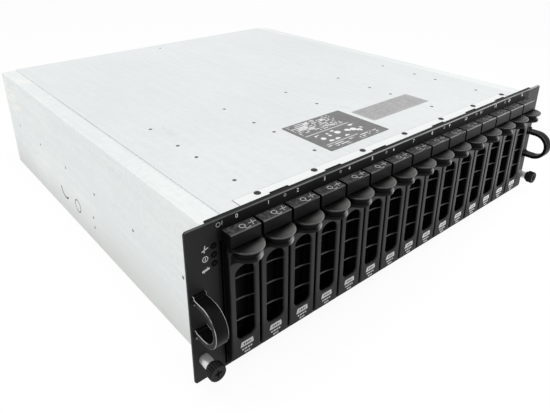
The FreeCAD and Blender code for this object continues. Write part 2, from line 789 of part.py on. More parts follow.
# Screw heads: hexagons behind the ears for the handles, and a row of flat heads on the cover
def machine_screws():
    screws = []
    for side in ("-", ""):
        for lean in ("-", "+"):
            spot = (f"{side}handle_across / 2", f"handle_height {lean} {STRAP_MIDDLE}")
            screws.append(prism(f"handle_screw_{len(screws)}", "y", 6, "screw_head_radius", spot, "panel_sheet",
                                "panel_sheet + screw_head"))
    for index in range(int(size("cover_screw_count"))):
        spot = (f"cover_screw_first + {index} * cover_screw_pitch", "cover_screw_back")
        screws.append(prism(f"cover_screw_{index}", "z", 8, "cover_screw_radius", spot, COVER_TOP,
                            f"{COVER_TOP} + cover_screw_head"))
    node(group("screws", screws), "machine_screws")


# Captive thumbscrews: a many sided knob on a shank that turns in a collar pressed through the ear
def thumbscrews():
    back = "(-collar_reach - turn_gap)"
    knob = prism("thumb_knob", "y", "knob_sides", "knob_radius", (0, 0), f"{back} - knob_length", back)
    start = "panel_sheet + 2 * turn_gap"
    neck = prism("thumb_neck", "y", "pin_sides", "shank_neck", (0, 0), f"{back} - knob_length / 2", start)
    shank = rod("thumb_shank", "y", "shank_radius", (0, 0), start, "shank_tail")
    screw = fuse("thumbscrew", [knob, neck, shank])
    limits = ("-collar_reach", "panel_sheet + turn_gap")
    collar = cut("collar", rod("collar_bar", "y", "collar_radius", (0, 0), *limits),
                 [rod("collar_bore", "y", "shank_neck + pin_gap", (0, 0), *limits)])
    collars = []
    for side, label in (("-", "left"), ("", "right")):
        spot = (f"{side}thumb_across / 2", 0, "thumb_height")
        node(group(f"thumb_{label}", [screw]), f"thumbscrew_{label}", *spot)
        collars.append(place(group(f"collar_{label}", [collar]), *spot))
    node(group("collars", collars), "thumbscrew_collars")


# Status lights in the left ear, and the small board that they butt against
def status_lights():
    lights = []
    for index in range(3):
        middle = light_middle(index)
        lights.append(mid_box(f"light_{index}", LIGHT_ACROSS, "light_half", ("-light_proud", "light_length"),
                              (f"{middle} - light_half", f"{middle} + light_half")))
    node(group("lights", lights), "status_lights")
    board = box("status", (f"-{INNER_HALF}", f"status_width - {INNER_HALF}"),
                ("light_length", "light_length + status_sheet"),
                (f"{light_middle(2)} - light_margin", f"{UPPER_TRAY} - slide_gap"))
    node(group("status_set", [board]), "status_board")


# Release latch of a rear module: a sliding plate with a thumb ridge, in a well as long as its travel
def latch_well(name, height):
    high = f"({MODULE_WIDTH} - latch_inset + latch_length / 2 + rocker_gap)"
    half = "(latch_height / 2 + rocker_gap)"
    return box(name, (LATCH_START, high), (LATCH_FLOOR, MODULE_BACK), (f"{height} - {half}", f"{height} + {half}"))


def latch(name):
    half = "(latch_height / 2)"
    floor = "(rocker_gap - latch_well)"
    plate = mid_box(f"{name}_plate", 0, "latch_length / 2", (floor, 0), (f"-{half}", half))
    ridge = mid_box(f"{name}_ridge", 0, "latch_ridge / 2", (floor, "latch_proud"), (f"-{half}", half))
    return fuse(name, [plate, ridge])


# Hollow of a rear module, open toward the middle of the chassis
def module_room(name, low, high, back):
    return box(name, ("wall_sheet", f"{MODULE_WIDTH} - wall_sheet"), ("module_front", f"{back} - 2 * wall_sheet"),
               (f"{low} + wall_sheet", f"{high} - wall_sheet"))


# Power and cooling module: a sheet steel box with a guarded fan well, a mains inlet, a rocker switch and a grip
def fan_spot():
    return "fan_at", f"({POWER_LOW} + fan_rise)"


def fan_guard(x, z):
    front, reach = f"{MODULE_BACK} - guard_sheet", "(fan_radius + guard_bar)"
    across = mid_box("guard_across", x, reach, (front, MODULE_BACK), (f"{z} - guard_bar / 2", f"{z} + guard_bar / 2"))
    upright = mid_box("guard_upright", x, "guard_bar / 2", (front, MODULE_BACK), (f"{z} - {reach}", f"{z} + {reach}"))
    stator = prism("stator", "y", "hub_sides", "hub_radius", (x, z), f"{WELL_FLOOR} - guard_sheet",
                   f"{ROTOR_BACK} - rotor_length - rotor_gap")
    return [across, upright, stator]


def module_grip():
    body = new_body("grip")
    strap = sketch(body, "grip_outline", "XY_Plane", f"{POWER_LOW} + grip_rise")
    left = "(fan_at + fan_radius + grip_clear)"
    right = f"({INLET_COLUMN} - inlet_width / 2 - grip_clear)"
    root, back = f"({MODULE_BACK} - guard_sheet)", f"({MODULE_BACK} + grip_reach)"
    outline(strap, [
        (left, root), (f"{left} + grip_strap", root), (f"{left} + grip_strap", f"{back} - grip_strap"),
        (f"{right} - grip_strap", f"{back} - grip_strap"), (f"{right} - grip_strap", root), (right, root),
        (right, f"{back} - grip_strap"), (f"{right} - grip_strap", back), (f"{left} + grip_strap", back),
        (left, f"{back} - grip_strap"),
    ])
    pad(body, strap, "grip_height")
    return body


def power_pattern():
    case = box("power_case", (0, MODULE_WIDTH), ("module_front", MODULE_BACK), (POWER_LOW, POWER_HIGH))
    column = INLET_COLUMN
    inlet_height = f"({POWER_LOW} + inlet_rise)"
    inlet_floor = f"({MODULE_BACK} - inlet_depth)"
    switch_height = f"({POWER_LOW} + switch_rise)"
    room = "(rocker_half + rocker_swing + rocker_gap)"
    tools = [
        rod("fan_hole", "y", "fan_radius", fan_spot(), WELL_FLOOR, MODULE_BACK),
        mid_box("inlet_hole", column, "inlet_width / 2", (inlet_floor, MODULE_BACK),
                (f"{inlet_height} - inlet_height / 2", f"{inlet_height} + inlet_height / 2")),
        mid_box("rocker_hole", column, "rocker_width / 2 + rocker_gap", (f"{MODULE_BACK} - rocker_well", MODULE_BACK),
                (f"{switch_height} - {room}", f"{switch_height} + {room}")),
        latch_well("power_latch_hole", f"({POWER_LOW} + power_latch_rise)"),
        module_room("power_room", POWER_LOW, POWER_HIGH, WELL_FLOOR),
    ]
    hollow = cut("power_hollow", case, tools)
    added = fan_guard(*fan_spot()) + [module_grip()]
    for index in range(3):
        drop = "prong_drop" if index == 1 else "-prong_drop"
        height = f"({inlet_height} + {drop})"
        added.append(mid_box(f"prong_{index}", f"{column} + {index - 1} * prong_pitch", "prong_width / 2",
                             (f"{inlet_floor} - guard_sheet", f"{inlet_floor} + prong_length"),
                             (f"{height} - prong_height / 2", f"{height} + prong_height / 2")))
    return fuse("power_whole", [hollow] + added)


def rotor_pattern():
    body = new_body("rotor")
    hub = sketch(body, "rotor_hub", "XZ_Plane", f"-{ROTOR_BACK}")
    many_sided(hub, (0, 0), "hub_radius", int(size("hub_sides")))
    pad(body, hub, "rotor_length")
    root = "(hub_radius - blade_sheet)"
    blade = sketch(body, "rotor_blade", "YZ_Plane", root)
    middle = f"({ROTOR_BACK} - rotor_length / 2)"
    low, high = f"{middle} - blade_chord / 2", f"{middle} + blade_chord / 2"
    lean = "(blade_sweep / 2)"
    outline(blade, [
        (low, f"-{lean}"), (f"{low} + blade_sheet", f"-{lean}"), (high, lean), (f"{high} - blade_sheet", lean),
    ])
    first = pad(body, blade, f"blade_tip - {root}")
    ring_pattern(body, first, "Y_Axis", "blade_count")
    return body


def rocker_pattern():
    body = new_body("rocker")
    face = sketch(body, "rocker_profile", "YZ_Plane", "-rocker_width / 2")
    outline(face, [
        ("-rocker_back", "-rocker_half"), ("rocker_crest", "-rocker_half"), ("rocker_valley", 0),
        ("rocker_crest", "rocker_half"), ("-rocker_back", "rocker_half"),
    ])
    pad(body, face, "rocker_width")
    return body


def module_starts():
    return ("left", f"(-{MODULE_SIDE} - {MODULE_WIDTH})"), ("right", MODULE_SIDE)


def power_modules():
    module, rotor, rocker, slide = power_pattern(), rotor_pattern(), rocker_pattern(), latch("power_latch")
    for label, start in module_starts():
        node(group(f"power_{label}", [module]), f"power_module_{label}", start)
        x, z = fan_spot()
        node(group(f"rotor_{label}", [rotor]), f"fan_rotor_{label}", f"{start} + {x}", 0, z)
        switch = group(f"rocker_{label}", [rocker])
        switch.Placement.Rotation = FreeCAD.Rotation(FreeCAD.Vector(1, 0, 0), size("rocker_tilt"))
        node(switch, f"power_switch_{label}", f"{start} + {INLET_COLUMN}",
             f"{MODULE_BACK} - rocker_set", f"{POWER_LOW} + switch_rise")
        node(group(f"power_slide_{label}", [slide]), f"power_latch_{label}",
             f"{start} + {MODULE_WIDTH} - latch_inset", MODULE_BACK, f"{POWER_LOW} + power_latch_rise")


# Control module: a flat sheet steel box with two link ports, a small port, a row of vents and a latch
def control_pattern():
    case = box("control_case", (0, MODULE_WIDTH), ("module_front", MODULE_BACK), (CONTROL_LOW, CONTROL_HIGH))
    floor = f"({MODULE_BACK} - port_depth)"
    middle = CONTROL_MIDDLE
    tools = [
        latch_well("control_latch_hole", middle),
        module_room("control_room", CONTROL_LOW, CONTROL_HIGH, floor),
    ]
    tongues = []
    for index in range(2):
        x = f"port_first + {index} * port_pitch"
        tools.append(mid_box(f"port_{index}", x, "port_width / 2", (floor, MODULE_BACK),
                             (f"{middle} - port_height / 2", f"{middle} + port_height / 2")))
        tongues.append(mid_box(f"tongue_{index}", x, "port_width / 2 - 2 * port_tongue",
                               (f"{floor} - port_tongue", f"{floor} + port_depth / 2"),
                               (f"{middle} - port_tongue / 2", f"{middle} + port_tongue / 2")))
    tools.append(mid_box("small_port", "port_first + 2 * port_pitch", "small_port_width / 2", (floor, MODULE_BACK),
                         (f"{middle} - small_port_height / 2", f"{middle} + small_port_height / 2")))
    for index in range(int(size("vent_count"))):
        tools.append(mid_box(f"vent_{index}", f"{LATCH_START} - vent_clear - {index} * vent_pitch", "vent_width / 2",
                             (f"{MODULE_BACK} - vent_depth", MODULE_BACK),
                             (f"{CONTROL_LOW} + vent_margin", f"{CONTROL_HIGH} - vent_margin")))
    return fuse("control_whole", [cut("control_hollow", case, tools)] + tongues)


def control_modules():
    module, slide = control_pattern(), latch("control_latch")
    for label, start in module_starts():
        node(group(f"control_{label}", [module]), f"control_module_{label}", start)
        node(group(f"control_slide_{label}", [slide]), f"control_latch_{label}",
             f"{start} + {MODULE_WIDTH} - latch_inset", MODULE_BACK, CONTROL_MIDDLE)


chassis_shell()
top_cover()
front_panel()
guide_tray("lower_guide_tray", "wall_sheet", TRAY_TOP)
guide_tray("upper_guide_tray", UPPER_TRAY, f"{UPPER_TRAY} - rib_height")
backplane()
rear_cage()
carriers_and_levers()
pull_handles()
machine_screws()
thumbscrews()
status_lights()
power_modules()
control_modules()
doc.recompute()

# Check every object, then write one file for each node
for obj in doc.Objects:
    if "Invalid" in obj.State or "Error" in obj.State:
        raise RuntimeError(f"{obj.Label} did not build: {obj.State}")
for obj in nodes:
    if obj.Shape.isNull() or not obj.Shape.isValid():
        raise RuntimeError(f"{obj.Label} has no sound shape")
os.makedirs("parts", exist_ok=True)
for obj in nodes:
    obj.Shape.exportStep(f"parts/{obj.Label}.step")
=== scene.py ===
import bmesh
import bpy
import math
from mathutils import Matrix, Vector


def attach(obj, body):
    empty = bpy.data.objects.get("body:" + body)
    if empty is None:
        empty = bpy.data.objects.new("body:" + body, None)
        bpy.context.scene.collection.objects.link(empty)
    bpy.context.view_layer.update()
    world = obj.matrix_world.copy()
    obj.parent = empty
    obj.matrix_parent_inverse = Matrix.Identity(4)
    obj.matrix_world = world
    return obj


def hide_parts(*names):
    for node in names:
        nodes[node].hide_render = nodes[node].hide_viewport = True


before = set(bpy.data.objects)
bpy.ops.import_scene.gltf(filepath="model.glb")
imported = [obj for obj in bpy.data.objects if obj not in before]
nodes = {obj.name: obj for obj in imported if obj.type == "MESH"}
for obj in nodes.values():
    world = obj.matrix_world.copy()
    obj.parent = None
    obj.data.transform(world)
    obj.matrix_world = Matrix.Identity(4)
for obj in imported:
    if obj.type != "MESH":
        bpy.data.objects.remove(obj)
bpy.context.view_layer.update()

# Disk array in a rack: looks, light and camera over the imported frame.
# Sizes are in millimetres, with X to the right, Y back from the panel's face and Z up from the floor.
MM = 0.001
PANEL_FACE = -245.0
BAYS = 15
BAY_PITCH = 28.44
SIDE_WALL = 223.0
COVER_TOP = 128.2
COVER_STRIP_HALF, COVER_FOLD = 188.0, 20.7
MODULE_BACK, MODULE_WIDTH, MODULE_GAP = 486.0, 220.2, 1.1


def spot(x, y, z):
    return Vector((x, PANEL_FACE + y, z)) * MM


def bay_middle(bay):
    return (bay - (BAYS - 1) / 2) * BAY_PITCH


def tone(red, green=None, blue=None):
    """A colour as it looks on a screen, from 0 to 255, in the shader's own scale."""
    levels = (red, red if green is None else green, red if blue is None else blue)
    return tuple((level / 255 / 12.92) if level < 10.3 else ((level / 255 + 0.055) / 1.055) ** 2.4
                 for level in levels) + (1.0,)


class Value:
    """A number that changes over a surface; sums on it are written as on plain numbers."""

    def __init__(self, sheet, socket):
        self.sheet = sheet
        self.socket = socket

    def __add__(self, other):
        return self.sheet.sum("ADD", self, other)

    def __sub__(self, other):
        return self.sheet.sum("SUBTRACT", self, other)

    def __rsub__(self, other):
        return self.sheet.sum("SUBTRACT", other, self)

    def __mul__(self, other):
        return self.sheet.sum("MULTIPLY", self, other)

    def __abs__(self):
        return self.sheet.sum("ABSOLUTE", self, 0.0)

    __radd__ = __add__
    __rmul__ = __mul__


class NodeSheet:
    """The nodes of one material or of the world."""

    def __init__(self, owner):
        owner.use_nodes = True
        self.tree = owner.node_tree

    def add(self, kind, settings, inputs, out=0):
        made = self.tree.nodes.new("ShaderNode" + kind)
        for name, setting in settings.items():
            setattr(made, name, setting)
        for name, value in inputs.items():
            self.feed(made.inputs[name], value)
        return Value(self, made.outputs[out])

    def feed(self, socket, value):
        if isinstance(value, Value):
            self.tree.links.new(value.socket, socket)
        else:
            socket.default_value = value

    def sum(self, operation, first, second):
        return self.add("Math", {"operation": operation}, {0: first, 1: second})

    def fraction(self, value):
        return self.sum("FRACT", value, 0.0)

    def larger(self, first, second):
        return self.sum("MAXIMUM", first, second)


class Finish(NodeSheet):
    """A material on the Principled shader, with textures placed by the piece's own coordinates."""

    def __init__(self, name, **fixed):
        self.material = bpy.data.materials.new(name)
        super().__init__(self.material)
        self.shader = self.tree.nodes["Principled BSDF"]
        for socket, value in fixed.items():
            self.shader.inputs[socket.replace("_", " ")].default_value = value
        self.place = self.add("TexCoord", {}, {}, "Object")

    def specular(self, level):
        self.shader.inputs["Specular IOR Level"].default_value = level
        return self

    def grain(self, scale, detail=2.0, stretch=None, rough=0.5):
        where = self.place
        if stretch:
            where = self.add("Mapping", {}, {"Vector": where, "Scale": stretch})
        return self.add("TexNoise", {},
                        {"Vector": where, "Scale": scale, "Detail": detail, "Roughness": rough})

    def crystals(self, scale):
        colour = self.add("TexVoronoi", {}, {"Vector": self.place, "Scale": scale}, "Color")
        return self.add("SeparateColor", {}, {"Color": colour})

    def axis(self, letter):
        return self.add("SeparateXYZ", {}, {"Vector": self.place}, letter)

    def rise(self, value, low, high, bottom=0.0, top=1.0):
        limits = {"From Min": low, "From Max": high, "To Min": bottom, "To Max": top}
        return self.add("MapRange", {"interpolation_type": "SMOOTHSTEP"}, {"Value": value, **limits})

    def across(self, left, right, bottom=0.0, top=1.0):
        """A rise between two places along X, in millimetres."""
        return self.rise(self.axis("X"), left * MM, right * MM, bottom, top)

    def behind(self, front, back):
        """Nought in front of one depth and one behind another, in millimetres from the panel's face."""
        return self.rise(self.axis("Y"), spot(0, front, 0).y, spot(0, back, 0).y)

    def above(self, low, high):
        """Nought below one height and one above another, in millimetres."""
        return self.rise(self.axis("Z"), low * MM, high * MM)

    def rubbed(self):
        """Nought at the left of the front and one at its right: the ramp of painted light from the right.
        """
        return self.across(-100, 210)

    def normal(self, letter=None):
        """Which way the surface faces, whole or along one axis."""
        whole = self.add("NewGeometry", {}, {}, "Normal")
        return self.add("SeparateXYZ", {}, {"Vector": whole}, letter) if letter else whole

    def edges(self, radius):
        """One on the rounded rims of a piece and nought on its flats."""
        rounded = self.add("Bevel", {"samples": 8}, {"Radius": radius * MM})
        both = {0: rounded, 1: self.normal()}
        facing = self.add("VectorMath", {"operation": "DOT_PRODUCT"}, both, "Value")
        return self.rise(1 - facing, 0.01, 0.12)

    def mix(self, share, first, second):
        return self.add("Mix", {"data_type": "RGBA"}, {0: share, 6: first, 7: second}, 2)

    def colour(self, value):
        self.feed(self.shader.inputs["Base Color"], value)
        return self

    def rough(self, value):
        self.feed(self.shader.inputs["Roughness"], value)
        return self

    def metal(self, value):
        self.feed(self.shader.inputs["Metallic"], value)

    def relief(self, height, depth, strength=0.5):
        bump = self.add("Bump", {}, {"Height": height, "Distance": depth * MM, "Strength": strength})
        self.feed(self.shader.inputs["Normal"], bump)
        return self


# Finishes: pairs are the soft limits of places, in millimetres, or for SLOT_EDGE as shares of a bay
ZINC_METAL = 0.82
PORES = 2200.0
FLOW = (34.0, 3.0, (1.0, 1.0, 0.35))
FIELD_SOFT = 0.4
PANEL_SKIN = (0.9, 1.3)
RAIL_EDGE, RAIL_SHELF = (131.6, 132.0), (132.35, 132.45)
EAR_NEAR, EAR_FAR = 214.5, 217.5
DISK_FRONT, DISK_LOW, DISK_TOP = (6.6, 7.2), (7.9, 8.3), (109.9, 110.3)
BAY_MOUTH = (-0.3, 0.3)
BLOCK_LOW, BLOCK_FACE = (109.5, 111.0), (111.0, 112.5)
BAYS_AND_HALF = 50.5
TAB_BASE, TAB_SLANT = -13.2, 5.0
HOLLOW_FOOT = (106.2, 106.8)
SLOT_FOOT, SLOT_ARCH, LEVER_INSIDE = (28.5, 29.5), (86.0, 88.0), (-5.2, -4.8)
SLOT_EDGE = (0.27, 0.29)


def field(made, left, right, front, back):
    """One inside a rectangle on the cover and nought outside."""
    wide = made.across(left - FIELD_SOFT, left) * (1 - made.across(right, right + FIELD_SOFT))
    return wide * made.behind(front - FIELD_SOFT, front) * (1 - made.behind(back, back + FIELD_SOFT))


def zinc_sheet(name, light, dark, shine=0.36, low=None, grip_from=None, strip_to=None):
    """Spangled sheet, if wanted with a foot darkened as painted shade, a black grip behind or a clean strip
    in front.
    """
    made = Finish(name, Metallic=ZINC_METAL)
    spangle = made.crystals(240.0)
    cloud = made.grain(6.0, 3.0)
    drawn = made.grain(30.0, 3.0, (8.0, 0.5, 8.0))
    scuff = made.rise(made.grain(42.0, 5.0, (1.0, 0.22, 1.0), 0.66), 0.63, 0.74)
    patch = spangle * 0.12 + cloud * 0.56 + drawn * 0.32
    sheet = made.mix(made.rise(patch, 0.3, 0.7), dark, light)
    if low:
        height = made.axis("Z") + cloud * (40 * MM)
        # painted shade: the sheet darkens towards the bottom
        sheet = made.mix(made.rise(height, 0.0, 70 * MM), low, sheet)
        rubbed = made.behind(405, 440) * made.rise(height, 85 * MM, 115 * MM)
        streak = made.rise(made.grain(90.0, 5.0, (1.0, 0.4, 1.4), 0.7), 0.5, 0.6)
        sheet = made.mix(rubbed * streak * 0.8, sheet, tone(252, 250, 243))
    sheet = made.mix(scuff * 0.16, sheet, tone(186, 190, 192))
    if strip_to:
        half, back = strip_to
        clean = field(made, -half, half, 0, back)
        sheet = made.mix(clean * 0.8, sheet, tone(243, 246, 245))
    if grip_from:
        grip = made.behind(grip_from, grip_from + 0.3)
        made.metal(ZINC_METAL - grip * ZINC_METAL)
        sheet = made.mix(grip, sheet, tone(30))
    made.colour(sheet)
    made.rough(shine + spangle * 0.06 + made.rise(cloud, 0.3, 0.7) * 0.1 + scuff * 0.12)
    return made.relief(spangle * 0.1 + drawn * 0.5 + made.grain(900.0) * 0.25, 0.04, 0.3).material


def panel_finish():
    """Satin black paint, paler on the ears, with painted light paler towards the right and on the right
    ear, a painted highlight along the rail's edge and painted shadow on its shelf.
    """
    made = Finish("panel_satin_black").specular(0.13)
    dust = made.grain(26.0, 4.0)
    speck = made.grain(1500.0)
    front = 1 - made.behind(*PANEL_SKIN)
    # painted highlight along the rail's top edge, fainter towards the left
    rail_edge_highlight = made.above(*RAIL_EDGE) * front * made.across(-220, 30, 0.3, 1.0)
    # painted shadow on the rail's shelf behind the face
    shade = made.above(*RAIL_SHELF) * (1 - front)
    left_ear = 1 - made.across(-EAR_FAR, -EAR_NEAR)
    right_ear = made.across(EAR_NEAR, EAR_FAR)
    paint = made.mix(made.rise(dust, 0.3, 0.75), tone(16), tone(22))
    paler = made.mix(left_ear, paint, made.mix(dust, tone(35), tone(44)))
    # painted light: paler towards the right of the front, and paler still on the right ear
    ground = made.mix(made.rubbed(), paler, made.mix(right_ear, tone(30), tone(62)))
    rimmed = made.mix(made.edges(0.6) * 0.7, ground, tone(128))
    edged = made.mix(rail_edge_highlight * made.rise(dust, 0.1, 0.6), rimmed, tone(150, 150, 152))
    made.colour(made.mix(shade, edged, tone(9)))
    made.rough(0.44 + made.rise(dust, 0.25, 0.75) * 0.12)
    return made.relief(speck, 0.06, 0.4).material


def handle_finish():
    """Black paint on a bent strap, with a painted highlight along its edges, broken up by noise, and less
    of it at the right.
    """
    made = Finish("handle_satin_black").specular(0.08)
    speck = made.grain(1900.0)
    wear_and_glint_noise = made.rise(made.grain(90.0, 3.0), 0.2, 0.5)
    sideways = abs(made.normal("X"))
    edge = made.rise(sideways, 0.16, 0.36) * (1 - made.rise(sideways, 0.92, 0.99))
    # painted highlight: a bright line on the rounded edges, fading towards the right
    bright = edge * made.across(0, 200, 1.0, 0.18) * wear_and_glint_noise
    ground = made.mix(made.rise(sideways, 0.85, 0.97), made.mix(speck, tone(10), tone(16)), tone(15))
    made.colour(made.mix(bright, ground, tone(196)))
    made.rough(0.36 + speck * 0.12)
    return made.relief(speck, 0.05, 0.4).material


def moulded(name, level, shine, bright, spec=0.3):
    """Moulding with flow marks, fine pores, handled patches and paler rims."""
    made = Finish(name).specular(spec)
    flow = made.grain(*FLOW)
    pore = made.grain(PORES)
    handled_and_lit = made.rise(made.grain(70.0, 4.0), 0.5, 0.72)
    ground = made.mix(flow, tone(level - 4), tone(level + 6))
    made.colour(made.mix(made.edges(0.6) * 0.4, ground, tone(bright)))
    made.rough(shine + pore * 0.1 - handled_and_lit * 0.08)
    return made.relief(pore, 0.05, 0.45).material


def carrier_finish():
    """Black moulding in front, with painted light on its top, on its faces towards the right and as a
    highlight line along the front top edge, painted shade in deep black on its left flanks, inside the bay
    and below the head, and cast metal on the upright disk behind.
    """
    made = Finish("carrier_black_and_cast_disk").specular(0.13)
    pore = made.grain(2100.0)
    cloud = made.grain(45.0, 3.0)
    disk = made.behind(*DISK_FRONT) * made.above(*DISK_LOW) * (1 - made.above(*DISK_TOP))
    inner = made.behind(*BAY_MOUTH)
    below = 1 - made.above(*BLOCK_LOW)
    up = made.normal("Z")
    # painted light: the up-facing top is lighter than the front face, mottled by blotches
    crown = made.rise(up, 0.75, 0.9)
    # painted highlight along the front top edge
    line = made.rise(up - made.normal("Y"), 1.3, 1.38) * made.rise(cloud, 0.25, 0.6)
    # painted shade: left-facing flanks near black in the gaps between blocks
    flank = made.rise(0 - made.normal("X"), 0.6, 0.9)
    # painted light: the block's face paler towards the right of the front
    block = made.rubbed() * made.above(*BLOCK_FACE)
    face = made.mix(block, made.mix(cloud, tone(18), tone(26)), made.mix(cloud, tone(50), tone(64)))
    blotch = made.rise(made.grain(420.0, 4.0, (1.0, 0.6, 1.0), 0.65), 0.36, 0.66)
    top = made.mix(blotch, tone(40), tone(76))
    # colour of the painted highlight line, brighter towards the right
    rim = made.mix(made.rubbed(), tone(112), tone(150))
    head = made.mix(flank, made.mix(line * 0.8, made.mix(crown, face, top), rim), tone(9))
    # painted shade: near black inside the bay and below the head
    black = made.mix(made.larger(inner, below), head, made.mix(cloud, tone(7), tone(12)))
    cast = made.mix(cloud, tone(120, 122, 125), tone(150, 152, 154))
    made.colour(made.mix(disk, black, cast))
    made.metal(disk * 0.8)
    made.rough(0.42 + pore * 0.12)
    return made.relief(pore, 0.05, 0.45).material


def bay_share(made):
    """How far across its bay a point lies, from -0.5 at the left to 0.5 at the right."""
    return made.fraction(made.axis("X") * (1 / (BAY_PITCH * MM)) + BAYS_AND_HALF) - 0.5


def tab_reach(made, share):
    """How far a point lies in front of the tab's root, which slants with the share of the bay."""
    return spot(0, TAB_BASE, 0).y - made.axis("Y") + share * (TAB_SLANT * MM)


def tab_finish():
    """Grey moulding in painted shadow at its root, paler towards its right as painted light, with a painted
    highlight along the rim.
    """
    made = Finish("tab_moulding").specular(0.3)
    pore = made.grain(PORES)
    flow = made.grain(60.0, 3.0)
    share = bay_share(made)
    front = tab_reach(made, share)
    # painted shadow of the block: dark near the tab's root, lit in front
    handled_and_lit = made.rise(front + flow * (2.0 * MM), 0.0, 9.0 * MM)
    # painted light: darker at the left of each tab, lighter at its right
    ground = made.mix(made.rise(share, -0.32, 0.4), tone(58), tone(110, 110, 108))
    top = made.mix(handled_and_lit, tone(12), ground)
    # painted highlight along the lip's front rim
    rim_highlight = made.edges(0.5) * made.rise(front, 0.0, 3.0 * MM) * 0.7
    made.colour(made.mix(rim_highlight, top, tone(180, 180, 177)))
    made.rough(0.36 + pore * 0.12)
    return made.relief(pore, 0.05, 0.4).material


def tab_hollow_finish():
    """The hollow under the lip, painted black as shade, with a painted glint on the foot at its right."""
    made = Finish("tab_hollow").specular(0.1)
    pore = made.grain(PORES)
    share = bay_share(made)
    front = tab_reach(made, share)
    # painted shade: the hollow and foot below the lip near black
    foot = 1 - made.above(*HOLLOW_FOOT)
    # painted glint on the right of the foot
    glint = made.rise(share, -0.02, 0.28) * foot * made.rise(front, -2.0 * MM, 2.0 * MM)
    made.colour(made.mix(glint, made.mix(foot, tone(5), tone(22)), tone(206)))
    made.metal(glint * 0.7)
    made.rough(0.5 - glint * 0.15 + pore * 0.1)
    return made.relief(pore, 0.05, 0.4).material


def lever_finish():
    """Dark grey moulding, blacker at its foot, with painted light paler towards the right of the front and
    on its rims, and painted shade in black on its left flank, inside, beside the slot and on the bars to
    the right.
    """
    made = Finish("lever_moulding").specular(0.2)
    pore = made.grain(PORES)
    flow = made.grain(*FLOW)
    share = bay_share(made)
    raised = made.rise(made.axis("Z") + flow * (6 * MM), 24 * MM, 46 * MM)
    # painted light: a shaded and a lit copy of the rail colour, mixed from left to right across the front
    rail_in_shade = made.mix(flow, tone(43), tone(54))
    rail_in_light = made.mix(flow, tone(80), tone(94))
    ground = made.mix(raised, tone(19), made.mix(made.rubbed(), rail_in_shade, rail_in_light))
    # painted highlight on the rims above the foot
    rim_highlight = made.mix(made.edges(0.5) * raised * 0.45, ground, tone(112))
    beside = made.above(*SLOT_FOOT) * (1 - made.above(*SLOT_ARCH))
    bars = (1 - made.rise(abs(share), *SLOT_EDGE)) * beside
    # painted light and shade on the bars: lit at their left ends, in painted shadow to the right
    shaded = made.mix(made.rise(share, -0.2, 0.16), tone(84), tone(6))
    # painted shade on the right rail's inner side beside the slot
    dim = made.rise(share, *SLOT_EDGE) * (1 - made.rise(share, 0.3, 0.4)) * beside
    fronts = made.mix(dim * 0.75, made.mix(bars, rim_highlight, shaded), tone(12))
    # painted shade: near black on the left flank and inside
    flank = made.rise(0 - made.normal("X"), 0.5, 0.85) * (1 - made.rise(share, -0.43, -0.38))
    made.colour(made.mix(made.larger(flank, made.behind(*LEVER_INSIDE)), fronts, tone(8)))
    made.rough(0.42 + pore * 0.12)
    return made.relief(pore, 0.05, 0.45).material


def plated(name, level, shine, metal=1.0):
    """Plated metal with turning marks and a haze."""
    made = Finish(name, Metallic=metal)
    marks = made.grain(700.0, 3.0, (1.0, 6.0, 1.0))
    haze = made.grain(90.0, 3.0)
    made.colour(made.mix(haze, tone(level - 22, level - 21, level - 20), tone(level)))
    made.rough(shine + haze * 0.14 + marks * 0.06)
    return made.relief(marks, 0.02, 0.3).material


def printed(name, level, right=None):
    """Print that is worn in spots, and fainter at the right if a level is given for it."""
    made = Finish(name).specular(0.2)
    wear_and_glint_noise = made.grain(1300.0, 3.0)
    # the ink dims towards the right along the ramp of painted light
    ink = made.mix(made.rubbed(), tone(level), tone(right)) if right else tone(level)
    made.colour(made.mix(made.rise(wear_and_glint_noise, 0.42, 0.75), ink, tone((right or level) - 34)))
    made.rough(0.55 + wear_and_glint_noise * 0.15)
    return made.relief(wear_and_glint_noise, 0.01, 0.2).material


def label_film(name, ground):
    """A film, and its colour with the sheen of use."""
    made = Finish(name).specular(0.35)
    fleck = made.grain(160.0, 4.0)
    made.rough(0.34 + fleck * 0.2).relief(fleck, 0.02, 0.3)
    return made, made.mix(made.rise(fleck, 0.3, 0.7), tone(ground), tone(ground + 12))


def dashes(made, row_gap, length, share):
    """Rows of short strokes, of which about a share is there."""
    row = made.fraction(made.axis("Y") * (1 / (row_gap * MM)))
    ruled = made.rise(row, 0.34, 0.44) * (1 - made.rise(row, 0.72, 0.82))
    size = (length * MM, row_gap * MM, 1.0)
    cell = made.add("VectorMath", {"operation": "SNAP"}, {0: made.place, 1: size})
    chance = made.add("TexWhiteNoise", {"noise_dimensions": "3D"}, {"Vector": cell})
    return ruled * (1 - made.rise(chance, share - 0.01, share + 0.01))


def dark_label():
    """Two fields of strokes and one of round spots, parted by rules and bare at the right."""
    made, film = label_film("dark_label_film", 98)
    clump = made.rise(made.grain(85.0, 1.0, (1.0, 1.5, 1.0)), 0.4, 0.48)
    rows = made.larger(field(made, -67, -12, 75, 99), field(made, -66, -2, 36, 43))
    strokes = dashes(made, 3.3, 2.2, 0.7) * clump * rows
    patch = made.rise(made.grain(70.0, 1.0, (1.0, 1.5, 1.0)), 0.55, 0.6)
    pale = patch * field(made, -67, -22, 76, 98) * 0.7
    cells = {"Vector": made.place, "Scale": 105.0, "Randomness": 0.7}
    reach = made.add("TexVoronoi", {}, cells, "Distance")
    spots = (1 - made.rise(reach, 0.3, 0.38)) * clump * field(made, -60, -8, 49, 67)
    rules = made.larger(field(made, -67, -10, 70.6, 71.8), field(made, -65, -24, 45.0, 46.0)) * 0.6
    drawn = made.larger(made.larger(strokes, pale), made.larger(spots, rules))
    return made.colour(made.mix(drawn * 0.9, film, tone(236))).material


